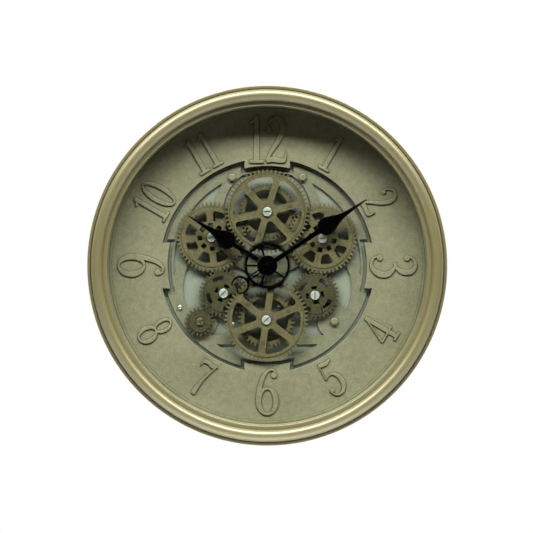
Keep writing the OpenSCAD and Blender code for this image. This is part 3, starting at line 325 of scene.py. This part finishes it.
joined(screws, vector_node(screws, 0.0, 0.0, math_node(screws, "MULTIPLY", s_in.outputs["Length"], -0.5)),
       rod_down.inputs["Translation"])
whole = node(screws, "GeometryNodeJoinGeometry")
joined(screws, cut.outputs["Mesh"], whole.inputs["Geometry"])
joined(screws, rod_down.outputs["Geometry"], whole.inputs["Geometry"])
faced = node(screws, "GeometryNodeTransform")
joined(screws, whole.outputs["Geometry"], faced.inputs["Geometry"])
joined(screws, s_in.outputs["Facing"], faced.inputs["Rotation"])
stand = node(screws, "GeometryNodeInstanceOnPoints")
own_turn = node(screws, "GeometryNodeInputNamedAttribute", data_type="FLOAT", Name="turn")
joined(screws, s_in.outputs["Geometry"], stand.inputs["Points"])
joined(screws, faced.outputs["Geometry"], stand.inputs["Instance"])
joined(screws, vector_node(screws, 0.0, own_turn.outputs["Attribute"], 0.0), stand.inputs["Rotation"])
real = node(screws, "GeometryNodeRealizeInstances")
coat = node(screws, "GeometryNodeSetMaterial")
joined(screws, stand.outputs["Instances"], real.inputs["Geometry"])
joined(screws, real.outputs["Geometry"], coat.inputs["Geometry"])
joined(screws, s_in.outputs["Finish"], coat.inputs["Material"])
joined(screws, coat.outputs["Geometry"], s_out.inputs["Geometry"])

to_wall = (-math.pi / 2, 0, 0)
post_count = 8
cover_head, cover_dome, cover_shank, cover_length, cover_slot = 0.0035, 0.002, 0.0017, 0.0125, 0.0007
post_ring = (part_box("cover_screws")[1][0] - cover_head) / math.cos(math.pi / post_count)
cover_front, cover_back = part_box("back_cover")[0][1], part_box("back_cover")[1][1]
post_turns = [2 * math.pi * (i + 0.5) / post_count for i in range(post_count)]
cover_at = [(post_ring * math.cos(t), cover_back, post_ring * math.sin(t), 3 * t) for t in post_turns]
cover_screws = grown("cover_screws_cross", cover_at, [], screws, Head=cover_head, Dome=cover_dome, Shank=cover_shank,
                     Length=cover_length, Slot=cover_slot, Cross=1.0, Facing=to_wall, Finish=zinc)
placed(cover_screws, None, "steel", "case", "cover_screws")


# Movement and gear motor: two black plastic boxes screwed to the pan from the front, each with a battery.
# Their backs stand in cut-outs of the back cover, so a battery can be changed and the hands set there.
case_edge, knob_edge, cell_edge = 0.0005, 0.0002, 0.0005
for box_name, look in (("movement_case", "movement_box"), ("motor_case", "motor_box")):
    placed(softened(box_name, look, case_edge), black_moulding, "dark_plastic", "case", box_name)
placed(softened("setting_knob", "ribbed_knob", knob_edge), black_moulding, "dark_plastic", "knob", "setting_knob")
sleeve, tree, surface = new_finish("battery_sleeve", shade(70, 72, 78), metallic=0.6, roughness=0.35)
rubbed = effect(tree, grain, Scale=120.0, Flakes=0.1)
toned(tree, surface, rubbed.outputs["Tone"], shade(60, 62, 68), shade(84, 86, 92))
for cell in ("movement_battery", "motor_battery"):
    placed(softened(cell, cell + "_cell", cell_edge, 3), sleeve, "battery", "case", cell)
finished(zinc, "movement_contacts", "motor_contacts", "motor_shaft", "dial_screws", "pan_screws")


# Gear pan and floor plate: a deep tray pressed from aluminium sheet, and a thin bright sheet laid in it.
# Both show the bare rolled metal with its fine lines, with painted shade where the wheels above keep the light off.

# How open a spot is to light: 1 on an open face, and less in corners, where colours take painted shade and a dark wash
shade_and_wash, c_in, c_out = new_effect("shade_and_wash", [("Reach", 0.004), ("Depth", 1.0)], ["Open"])
c_look = node(shade_and_wash, "ShaderNodeAmbientOcclusion", samples=8)
c_power = node(shade_and_wash, "ShaderNodeMath", operation="POWER")
shade_and_wash.links.new(c_in.outputs["Reach"], c_look.inputs["Distance"])
shade_and_wash.links.new(c_look.outputs["AO"], c_power.inputs[0])
shade_and_wash.links.new(c_in.outputs["Depth"], c_power.inputs[1])
shade_and_wash.links.new(c_power.outputs[0], c_out.inputs["Open"])


def blended(tree, mode, amount, a, b):
    """Mixes two colours, each a socket or a plain colour, by a socket or a plain amount."""
    mix = node(tree, "ShaderNodeMix", data_type="RGBA", blend_type=mode)
    for socket, value in ((mix.inputs[0], amount), (mix.inputs[6], a), (mix.inputs[7], b)):
        if isinstance(value, bpy.types.NodeSocket):
            tree.links.new(value, socket)
        else:
            socket.default_value = value
    return mix.outputs[2]


tray_edge = 0.0006
rolled, tree, surface = new_finish("rolled_aluminium", shade(144, 151, 133), metallic=0.0, roughness=0.5, specular=0.2)
lines_at = node(tree, "ShaderNodeTexCoord")
lines_map = node(tree, "ShaderNodeMapping", Scale=(1400, 1, 90))
lines = node(tree, "ShaderNodeTexNoise", Scale=1.0, Detail=2.0)
tree.links.new(lines_at.outputs["Object"], lines_map.inputs["Vector"])
tree.links.new(lines_map.outputs["Vector"], lines.inputs["Vector"])
bare = toned(tree, surface, lines.outputs["Fac"], shade(138, 145, 127), shade(157, 164, 146))
# Painted shade: the floor darkens to a dull grey where the wheels above keep the light off
wheel_shade = effect(tree, shade_and_wash, Reach=0.012, Depth=0.8)
floor_shaded = blended(tree, "MIX", wheel_shade.outputs["Open"], shade(84, 90, 76), bare.outputs["Color"])
tree.links.new(floor_shaded, surface.inputs["Base Color"])
spread(tree, surface, lines.outputs["Fac"], 0.42, 0.58)
finished(rolled, "floor_plate")
placed(softened("gear_pan", "pan_tray", tray_edge), rolled, "bright_floor", "case", "gear_pan")


# Bridge plate: a stamped sheet with pads and bars, sprayed with a sandy champagne metallic paint.
# It stands on the floor plate, and three hexagon bolts in the same paint hold it to the pan.
# The small screws beside it are plated, and hold the movement and the motor.

# Broad cloudy change of tone, where paint lies thicker or has been handled
clouds, k_in, k_out = new_effect("clouds", [("Scale", 18.0)], ["Tone"])
k_at = node(clouds, "ShaderNodeTexCoord")
k_noise = node(clouds, "ShaderNodeTexNoise", Detail=4.0, Roughness=0.55)
clouds.links.new(k_at.outputs["Object"], k_noise.inputs["Vector"])
clouds.links.new(k_in.outputs["Scale"], k_noise.inputs["Scale"])
clouds.links.new(k_noise.outputs["Fac"], k_out.inputs["Tone"])


def champagne(name, dark, light, wash_and_shade_colour, reach, depth):
    """Sandy champagne paint: two shades of flakes, cloudy in the large, a dark wash and painted shade in its corners.
    """
    finish, tree, surface = new_finish(name, light, metallic=0.0, roughness=0.6, specular=0.12)
    sand = effect(tree, grain, Scale=1400.0, Flakes=0.55)
    cloud = effect(tree, clouds, Scale=16.0)
    blotch = effect(tree, clouds, Scale=140.0)
    # A dark wash and painted shade: the colour darkens towards the wash colour where a spot is less open
    corner = effect(tree, shade_and_wash, Reach=reach, Depth=depth)
    ramp = toned(tree, surface, sand.outputs["Tone"], dark, light, 0.2, 0.8)
    cloudy = blended(tree, "SOFT_LIGHT", 0.35, ramp.outputs["Color"], cloud.outputs["Tone"])
    cloudy = blended(tree, "SOFT_LIGHT", 0.35, cloudy, blotch.outputs["Tone"])
    washed_and_shaded = blended(tree, "MIX", corner.outputs["Open"], wash_and_shade_colour, cloudy)
    tree.links.new(washed_and_shaded, surface.inputs["Base Color"])
    spread(tree, surface, sand.outputs["Tone"], 0.68, 0.52)
    bumped(tree, surface, sand.outputs["Height"], 0.25, 0.0004)
    return finish


bridge_edge, bolt_edge = 0.0005, 0.00025
bridge_paint = champagne("bridge_paint", shade(119, 120, 94), shade(145, 146, 119), shade(40, 40, 26),
                         reach=0.004, depth=1.2)
placed(softened("bridge_plate", "bridge", bridge_edge), bridge_paint, "champagne_paint", "case", "bridge_plate")
placed(softened("bridge_bolts", "bridge_hex_bolts", bolt_edge), bridge_paint, "champagne_paint", "case", "bridge_bolts")
finished(zinc, "motor_screws", "movement_screws")


# Gears: moulded wheels in antique bronze, with rubbing and a painted highlight on edges, a wash and painted shade in
# corners.
# A wheel and the smaller one behind it turn together on a slotted steel axle screw.

# How much a spot lies on an edge, where paint rubs off and a highlight is painted
rub_and_glint, r_in, r_out = new_effect("edge_rub_and_glint", [("Width", 0.0006), ("Amount", 6.0)], ["Rub"])
r_round = node(rub_and_glint, "ShaderNodeBevel", samples=6)
r_flat = node(rub_and_glint, "ShaderNodeNewGeometry")
r_dot = node(rub_and_glint, "ShaderNodeVectorMath", operation="DOT_PRODUCT")
r_less = node(rub_and_glint, "ShaderNodeMath", operation="SUBTRACT")
r_more = node(rub_and_glint, "ShaderNodeMath", operation="MULTIPLY", use_clamp=True)
r_less.inputs[0].default_value = 1.0
rub_and_glint.links.new(r_in.outputs["Width"], r_round.inputs["Radius"])
rub_and_glint.links.new(r_round.outputs["Normal"], r_dot.inputs[0])
rub_and_glint.links.new(r_flat.outputs["Normal"], r_dot.inputs[1])
rub_and_glint.links.new(r_dot.outputs["Value"], r_less.inputs[1])
rub_and_glint.links.new(r_less.outputs[0], r_more.inputs[0])
rub_and_glint.links.new(r_in.outputs["Amount"], r_more.inputs[1])
rub_and_glint.links.new(r_more.outputs[0], r_out.inputs["Rub"])


def bronze(name, dark, light, bright, wash_and_shade_colour):
    """Antique bronze paint: mottled brown, edges lighter as rub and painted highlight, corners dark as wash and painted
    shade.
    """
    finish, tree, surface = new_finish(name, light, metallic=0.0, roughness=0.5, specular=0.2)
    mottle = effect(tree, grain, Scale=500.0, Flakes=0.35)
    cloud = effect(tree, clouds, Scale=60.0)
    edge = effect(tree, rub_and_glint, Width=0.0007, Amount=5.0)
    # Painted shade and a dark wash: darker in corners, and a thin dark line at the foot of each step
    corner = effect(tree, shade_and_wash, Reach=0.006, Depth=1.3)
    foot = effect(tree, shade_and_wash, Reach=0.0014, Depth=3.0)
    ramp = toned(tree, surface, mottle.outputs["Tone"], dark, light)
    brown = blended(tree, "SOFT_LIGHT", 0.5, ramp.outputs["Color"], cloud.outputs["Tone"])
    worn_and_glinting = blended(tree, "MIX", edge.outputs["Rub"], brown, bright)
    foot_shaded = blended(tree, "MIX", foot.outputs["Open"], wash_and_shade_colour, worn_and_glinting)
    bronze_washed_and_shaded = blended(tree, "MIX", corner.outputs["Open"], wash_and_shade_colour, foot_shaded)
    tree.links.new(bronze_washed_and_shaded, surface.inputs["Base Color"])
    spread(tree, surface, mottle.outputs["Tone"], 0.58, 0.4)
    bumped(tree, surface, mottle.outputs["Height"], 0.25, 0.0004)
    return finish


front_bronze = bronze("front_bronze", shade(90, 86, 56), shade(117, 112, 79), shade(134, 130, 98), shade(25, 20, 10))
rear_bronze = bronze("rear_bronze", shade(79, 76, 49), shade(104, 100, 70), shade(119, 115, 84), shade(21, 17, 8))
# The small lower wheels and the drive pinion take a darker copy of the same bronze paint
small_bronze = bronze("small_bronze", shade(61, 60, 39), shade(83, 81, 55), shade(98, 95, 70), shade(16, 14, 7))
tooth_edge = 0.00025
for place, paint in (("upper", front_bronze), ("lower", front_bronze), ("left", front_bronze), ("right", front_bronze),
                     ("lower_left", small_bronze), ("lower_right", small_bronze)):
    for wheel, coat in ((place + "_gear", paint), (place + "_rear_gear", rear_bronze)):
        placed(softened(wheel, wheel + "_wheel", tooth_edge), coat, "bronze_paint", place + "_gears", wheel)
placed(softened("drive_pinion", "drive_pinion_wheel", tooth_edge), small_bronze, "bronze_paint", "drive",
       "drive_pinion")


# Axle screws: turned from bright steel, with a domed head and one slot; each wheel runs on one.
# The pinion's screw, the bush and the pipes of the hands are brass, gone dark, and the arbor is plated steel.
bright_steel, tree, surface = new_finish("bright_steel", shade(190, 197, 182), metallic=0.4, roughness=0.4)
turned = effect(tree, grain, Scale=700.0, Flakes=0.2)
# Painted shade: the screw's colour darkens inside its slot
slot_shade = effect(tree, shade_and_wash, Reach=0.0016, Depth=2.0)
clean = toned(tree, surface, turned.outputs["Tone"], shade(180, 187, 172), shade(204, 211, 196))
slot_shaded = blended(tree, "MIX", slot_shade.outputs["Open"], shade(64, 66, 54), clean.outputs["Color"])
tree.links.new(slot_shaded, surface.inputs["Base Color"])
spread(tree, surface, turned.outputs["Tone"], 0.32, 0.46)
finished(bright_steel, "long_axles", "short_axles")
finished(rear_bronze, "upper_rivets", "lower_rivets")
dark_brass, tree, surface = new_finish("dark_brass", shade(112, 104, 70), metallic=0.4, roughness=0.45)
tarnish = effect(tree, grain, Scale=400.0, Flakes=0.3)
toned(tree, surface, tarnish.outputs["Tone"], shade(92, 86, 56), shade(128, 120, 82))
spread(tree, surface, tarnish.outputs["Tone"], 0.3, 0.5)
finished(dark_brass, "drive_screw", "centre_bush", "bush_washer", "bush_nut", "hour_pipe", "minute_pipe")
finished(zinc, "second_arbor")


# Hands and the fixed wheel behind them: sheet aluminium stamped out and sprayed satin black.
# Each hand is pressed on its own pipe or arbor of the movement.
def black_spray(name):
    """Satin black paint, and its tree, shader and colour to build on."""
    finish, tree, surface = new_finish(name, shade(3, 3, 3), metallic=0.0, roughness=0.35, specular=0.03)
    sprayed = effect(tree, grain, Scale=1200.0, Flakes=0.2)
    coat = toned(tree, surface, sprayed.outputs["Tone"], shade(1, 1, 1), shade(4, 4, 4))
    spread(tree, surface, sprayed.outputs["Tone"], 0.3, 0.4)
    return finish, tree, surface, coat.outputs["Color"]


satin_black = black_spray("satin_black")[0]
finished(satin_black, "centre_wheel")
hand_black, tree, surface, black_coat = black_spray("hand_black")
# A painted highlight: the hands' edges are coloured a light grey, as if catching the light from above
hand_edge_highlight = effect(tree, rub_and_glint, Width=0.0009, Amount=4.0)
black_with_painted_highlight = blended(tree, "MIX", hand_edge_highlight.outputs["Rub"], black_coat, shade(120, 122, 112))
tree.links.new(black_with_painted_highlight, surface.inputs["Base Color"])
blade_edge = 0.0004
for body, hand, coat in (("hour", "hour_hand", hand_black), ("minute", "minute_hand", hand_black),
                         ("second", "second_hand", satin_black)):
    placed(softened(hand, hand + "_blade", blade_edge, 3), coat, "black_paint", body, hand)


# Dial: one moulding with a sloped rim, four tabs over the gear pan and raised, rounded numerals.
# It is sprayed like the bridge plate, a little brighter, with a dark wash and painted shade along the foot of each
# numeral.
dial_paint = champagne("dial_paint", shade(129, 128, 100), shade(152, 151, 121), shade(58, 56, 37),
                       reach=0.003, depth=1.6)
flat_r, dial_edge, near = 0.1965, 0.0007, 1e-5
numeral_rise, numeral_high, numeral_edge, numeral_slim, numeral_step = 0.0018, 0.0013, 0.0008, 0.0004, 0.00012
numeral_top = min(v.co.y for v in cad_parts["dial_plate"].data.vertices if math.hypot(v.co.x, v.co.z) < flat_r)
dial_front = numeral_top + numeral_rise


def of_numeral(face):
    """True for a face of a raised numeral, top or side."""
    return face.calc_center_median().y < dial_front - near and all(
        math.hypot(v.co.x, v.co.z) < flat_r for v in face.verts)


def numeral_loops():
    """The outlines of the numerals' tops, as closed loops of points on the dial."""
    work = bmesh.new()
    work.from_mesh(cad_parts["dial_plate"].data)
    bmesh.ops.remove_doubles(work, verts=work.verts, dist=same_point)
    top = {f for f in work.faces if all(abs(v.co.y - numeral_top) < 2 * near for v in f.verts)}
    rim = [e for e in work.edges if sum(f in top for f in e.link_faces) == 1]
    after = {}
    for e in rim:
        for f in e.link_faces:
            if f in top:
                corner = next(c for c in f.loops if c.edge == e)
                after[corner.vert] = corner.link_loop_next.vert
    loops = []
    while after:
        start, at = next(iter(after.items()))
        points = [start.co.copy()]
        del after[start]
        while at in after:
            points.append(at.co.copy())
            at = after.pop(at)
        loops.append(points)
    work.free()
    return loops


lettering = bpy.data.curves.new("numerals", "CURVE")
lettering.dimensions = "2D"
lettering.fill_mode = "BOTH"
lettering.bevel_depth = numeral_edge
lettering.bevel_resolution = 3
lettering.offset = -numeral_edge - numeral_slim
lettering.extrude = (numeral_high - numeral_edge) / 2
for points in numeral_loops():
    kept = [p for i, p in enumerate(points) if (p - points[i - 1]).length > numeral_step]
    outline = lettering.splines.new("POLY")
    outline.points.add(len(kept) - 1)
    outline.points.foreach_set("co", [c for p in kept for c in (p.x, p.z, 0.0, 1.0)])
    outline.use_cyclic_u = True
numerals = bpy.data.objects.new("numerals", lettering)
scene.collection.objects.link(numerals)
shaped = bpy.data.meshes.new_from_object(numerals.evaluated_get(bpy.context.evaluated_depsgraph_get()))
bpy.data.objects.remove(numerals)
shaped.transform(Matrix.Translation((0, dial_front - numeral_high + lettering.extrude + numeral_edge, 0))
                 @ Matrix.Rotation(math.pi / 2, 4, "X"))
shaped.shade_smooth()
shaped.set_sharp_from_angle(angle=sharp_from)
numerals = bpy.data.objects.new("numerals", shaped)
scene.collection.objects.link(numerals)
placed(numerals, dial_paint, "champagne_paint", "case")
placed(softened("dial_plate", "dial_moulding", dial_edge, 3, drop=of_numeral), dial_paint, "champagne_paint", "case",
       "dial_plate")


# Glass: a flat round pane with a thin coating against glare, laid in from behind on a rubber gasket.
# It reaches under the frame's lip, and the dial's flange holds it there.
pane = bpy.data.materials.new("coated_glass")
pane.use_nodes = True
tree = pane.node_tree
tree.nodes.clear()
clear = node(tree, "ShaderNodeBsdfTransparent")
clear.inputs["Color"].default_value = (0.985, 0.99, 0.985, 1)
gloss = node(tree, "ShaderNodeBsdfGlossy", Roughness=0.03)
mirror = node(tree, "ShaderNodeFresnel", IOR=1.06)
side = node(tree, "ShaderNodeNewGeometry")
over = node(tree, "ShaderNodeMixShader")
out = node(tree, "ShaderNodeOutputMaterial")
outside = math_node(tree, "SUBTRACT", 1.0, side.outputs["Backfacing"])
tree.links.new(math_node(tree, "MULTIPLY", mirror.outputs["Fac"], outside), over.inputs["Fac"])
tree.links.new(clear.outputs["BSDF"], over.inputs[1])
tree.links.new(gloss.outputs["BSDF"], over.inputs[2])
tree.links.new(over.outputs["Shader"], out.inputs["Surface"])
finished(pane, "glass")
seal, tree, surface = new_finish("gasket_rubber", shade(20, 20, 20), metallic=0.0, roughness=0.7)
rubber_skin = effect(tree, grain, Scale=1100.0, Flakes=0.3)
toned(tree, surface, rubber_skin.outputs["Tone"], shade(14, 14, 14), shade(28, 28, 28))
finished(seal, "glass_gasket")


# Frame: a hollow ring with a thin outer step, a large half-round bead and a rounded lip over the glass.
# It is moulded in one piece and sprayed a smooth, glossy gold champagne.
ring_maker, ring_in, ring_out = new_maker("rolled_ring", [
    ("Radius", "Float", 0.2), ("Segments", "Int", 320), ("Post Radius", "Float", 0.005),
    ("Post Ring", "Float", 0.2), ("Post Back", "Float", 0.0), ("Post Front", "Float", 0.05),
    ("Finish", "Material", None)])
profile = node(ring_maker, "GeometryNodeMeshToCurve")
path = node(ring_maker, "GeometryNodeCurvePrimitiveCircle")
sweep = node(ring_maker, "GeometryNodeCurveToMesh")
upright = node(ring_maker, "GeometryNodeTransform", Rotation=(-math.pi / 2, 0, 0))
whole_ring = node(ring_maker, "GeometryNodeRealizeInstances")
ring_coat = node(ring_maker, "GeometryNodeSetMaterial")
joined(ring_maker, ring_in.outputs["Geometry"], profile.inputs["Mesh"])
joined(ring_maker, ring_in.outputs["Segments"], path.inputs["Resolution"])
joined(ring_maker, ring_in.outputs["Radius"], path.inputs["Radius"])
joined(ring_maker, path.outputs["Curve"], sweep.inputs["Curve"])
joined(ring_maker, profile.outputs["Curve"], sweep.inputs["Profile Curve"])
joined(ring_maker, sweep.outputs["Mesh"], upright.inputs["Geometry"])
post_turn = math.pi / post_count
post_line = node(ring_maker, "GeometryNodeCurvePrimitiveCircle", Resolution=post_count)
post_place = node(ring_maker, "GeometryNodeTransform", Rotation=(-math.pi / 2, post_turn, 0))
post = node(ring_maker, "GeometryNodeMeshCylinder", Vertices=32)
post_up = node(ring_maker, "GeometryNodeTransform", Rotation=(math.pi / 2, 0, 0))
posts = node(ring_maker, "GeometryNodeInstanceOnPoints")
both = node(ring_maker, "GeometryNodeJoinGeometry")
post_deep = math_node(ring_maker, "SUBTRACT", ring_in.outputs["Post Front"], ring_in.outputs["Post Back"])
post_mid = math_node(ring_maker, "MULTIPLY_ADD", post_deep, 0.5, ring_in.outputs["Post Back"])
joined(ring_maker, ring_in.outputs["Post Ring"], post_line.inputs["Radius"])
joined(ring_maker, post_line.outputs["Curve"], post_place.inputs["Geometry"])
joined(ring_maker, ring_in.outputs["Post Radius"], post.inputs["Radius"])
joined(ring_maker, post_deep, post.inputs["Depth"])
joined(ring_maker, post.outputs["Mesh"], post_up.inputs["Geometry"])
joined(ring_maker, vector_node(ring_maker, 0.0, math_node(ring_maker, "MULTIPLY", post_mid, -1.0), 0.0),
       post_up.inputs["Translation"])
joined(ring_maker, post_place.outputs["Geometry"], posts.inputs["Points"])
joined(ring_maker, post_up.outputs["Geometry"], posts.inputs["Instance"])
joined(ring_maker, upright.outputs["Geometry"], both.inputs["Geometry"])
joined(ring_maker, posts.outputs["Instances"], both.inputs["Geometry"])
joined(ring_maker, both.outputs["Geometry"], whole_ring.inputs["Geometry"])
joined(ring_maker, whole_ring.outputs["Geometry"], ring_coat.inputs["Geometry"])
joined(ring_maker, ring_in.outputs["Finish"], ring_coat.inputs["Material"])
joined(ring_maker, ring_coat.outputs["Geometry"], ring_out.inputs["Geometry"])


def arc(across, out, r, start, end, steps):
    """Points of a circle's arc, across from the axis and out from the wall."""
    turns = [math.radians(start + (end - start) * i / steps) for i in range(steps + 1)]
    return [(across + r * math.cos(t), out + r * math.sin(t)) for t in turns]


gold, tree, surface = new_finish("gold_champagne", shade(117, 111, 69), metallic=0.0, roughness=0.42, specular=1.0)
for socket, value in (("IOR", 1.7), ("Specular Tint", (1.0, 0.92, 0.68, 1.0)), ("Coat Weight", 0.8),
                      ("Coat Roughness", 0.4)):
    surface.inputs[socket].default_value = value
haze = effect(tree, clouds, Scale=25.0)
fine = effect(tree, grain, Scale=1600.0, Flakes=0.6)
# Painted shade: the gold darkens in the frame's grooves and corners
gold_groove_shade = effect(tree, shade_and_wash, Reach=0.004, Depth=2.0)
gold_ramp = toned(tree, surface, fine.outputs["Tone"], shade(111, 105, 63), shade(123, 117, 75))
gold_shaded = blended(tree, "MIX", gold_groove_shade.outputs["Open"], shade(86, 77, 42), gold_ramp.outputs["Color"])
tree.links.new(gold_shaded, surface.inputs["Base Color"])
spread(tree, surface, haze.outputs["Tone"], 0.39, 0.45)
ring_low, ring_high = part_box("frame_ring")
rim_r, crest = ring_high[0], -ring_low[1]
rim_wall, groove, groove_deep, bead_r, bead_rise = 0.0038, 0.0008, 0.003, 0.0075, 0.006
lip_wide, lip_round, lip_lap, ease = 0.0052, 0.0014, 0.0045, 0.0003
post_r, ring_steps = 0.005, 360
bead_across, bead_out = rim_r - rim_wall - groove - bead_r, crest - bead_r
step_out, lip_out = bead_out, crest - bead_rise
lip_across = bead_across - bead_r - groove - lip_wide
foot_turn = 180 - math.degrees(math.asin((lip_out - bead_out) / bead_r))
pane_front, seat_out = -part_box("glass")[0][1], -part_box("glass_gasket")[1][1]
seat_across = lip_across + lip_lap
section = (
    arc(rim_r - 2 * ease, step_out - 2 * ease, 2 * ease, 0, 90, 6)
    + arc(rim_r - rim_wall + ease, step_out - ease, ease, 90, 180, 4)
    + [(rim_r - rim_wall, step_out - groove_deep), (rim_r - rim_wall - groove, step_out - groove_deep)]
    + arc(bead_across, bead_out, bead_r, 0, foot_turn, 48)
    + arc(lip_across + lip_round, lip_out - lip_round, lip_round, 90, 180, 8)
    + [(lip_across, pane_front), (seat_across, pane_front), (seat_across, seat_out),
       (rim_r - rim_wall, seat_out), (rim_r - rim_wall, ease), (rim_r - rim_wall + ease, 0.0), (rim_r - ease, 0.0),
       (rim_r, ease)]
)
bead = [(across - bead_across, out, 0.0) for across, out in section]
frame_bead = grown("frame_bead", bead, [(i, (i + 1) % len(bead)) for i in range(len(bead))], ring_maker,
                   **{"Radius": bead_across, "Segments": ring_steps, "Post Radius": post_r, "Post Ring": post_ring,
                      "Post Back": -cover_front, "Post Front": seat_out + ease, "Finish": gold})
placed(frame_bead, None, "frame_paint", "case", "frame_ring")


# Studio: a pale floor under the clock, a white surround, one large soft lamp overhead and a little fill.
# The camera stands square in front with a long lens, as for a catalogue picture.
def looked_at(tree, mirrored=1.0):
    """Is 1 for what the camera sees directly, and a share of that in a reflection or through glass."""
    path = node(tree, "ShaderNodeLightPath")
    in_metal = math_node(tree, "MAXIMUM", path.outputs["Is Glossy Ray"], path.outputs["Is Transmission Ray"])
    return math_node(tree, "MAXIMUM", path.outputs["Is Camera Ray"], math_node(tree, "MULTIPLY", in_metal, mirrored))


pale, unlit = (0.8, 0.8, 0.8, 1), (0.04, 0.04, 0.04, 1)
floor_paper, tree, surface = new_finish("floor_paper", pale, metallic=0.0, roughness=0.9)
paper = blended(tree, "MIX", looked_at(tree), unlit, pale)
tree.links.new(paper, surface.inputs["Base Color"])
floor_mesh = bpy.data.meshes.new("studio_floor")
floor_z, floor_half = -0.62, 2.0
floor_mesh.from_pydata([(x * floor_half, y * floor_half, 0.0) for x, y in ((-1, -1), (1, -1), (1, 1), (-1, 1))],
                       [], [(0, 1, 2, 3)])
floor_mesh.materials.append(floor_paper)
studio_floor = bpy.data.objects.new("studio_floor", floor_mesh)
studio_floor.location.z = floor_z
scene.collection.objects.link(studio_floor)

room = bpy.data.worlds.new("room")
scene.world = room
room.use_nodes = True
tree = room.node_tree
tree.nodes.clear()
white = node(tree, "ShaderNodeBackground", Color=(1, 1, 1, 1), Strength=1.0)
dim = node(tree, "ShaderNodeBackground", Color=(1, 1, 1, 1), Strength=0.018)
either = node(tree, "ShaderNodeMixShader")
world_out = node(tree, "ShaderNodeOutputWorld")
facing = node(tree, "ShaderNodeTexCoord")
parted = node(tree, "ShaderNodeSeparateXYZ")
behind = node(tree, "ShaderNodeMapRange", From_Min=-0.2, From_Max=0.3)
tree.links.new(facing.outputs["Generated"], parted.inputs["Vector"])
tree.links.new(parted.outputs["Y"], behind.inputs["Value"])
tree.links.new(looked_at(tree, behind.outputs["Result"]), either.inputs["Fac"])
tree.links.new(dim.outputs["Background"], either.inputs[1])
tree.links.new(white.outputs["Background"], either.inputs[2])
tree.links.new(either.outputs["Shader"], world_out.inputs["Surface"])

softbox = bpy.data.lights.new("overhead_softbox", "AREA")
softbox.shape = "ELLIPSE"
softbox.size, softbox.size_y = 9.5, 0.7
softbox.energy = 584
lamp_far, lamp_high, lamp_side = 4.0, math.radians(61.9), -0.05
lamp_stand = bpy.data.objects.new("overhead_softbox", softbox)
lamp_stand.location = (lamp_side, -lamp_far * math.cos(lamp_high), lamp_far * math.sin(lamp_high))
lamp_stand.rotation_euler = (-lamp_stand.location).to_track_quat("-Z", "Y").to_euler()
scene.collection.objects.link(lamp_stand)
fill = bpy.data.lights.new("low_fill", "AREA")
fill.shape = "RECTANGLE"
fill.size, fill.size_y = 0.6, 0.06
fill.energy = 0.4
fill_stand = bpy.data.objects.new("low_fill", fill)
fill_out, fill_low = 0.13, 0.345
fill_stand.location = (0.0, -fill_out, -fill_low)
fill_stand.rotation_euler = (math.pi, 0, 0)
fill_stand.visible_camera = False
scene.collection.objects.link(fill_stand)

eye = bpy.data.cameras.new("front_camera")
eye.sensor_width = 36
eye.lens = 261.5
eye.clip_end = 50
camera = bpy.data.objects.new("front_camera", eye)
eye_aside, eye_far, eye_low = -0.00095, 5.0, 0.0011
camera.location = (eye_aside, -eye_far, -eye_low)
camera.rotation_euler = (math.pi / 2, 0, 0)
scene.collection.objects.link(camera)
scene.camera = camera
scene.view_settings.view_transform = "Standard"
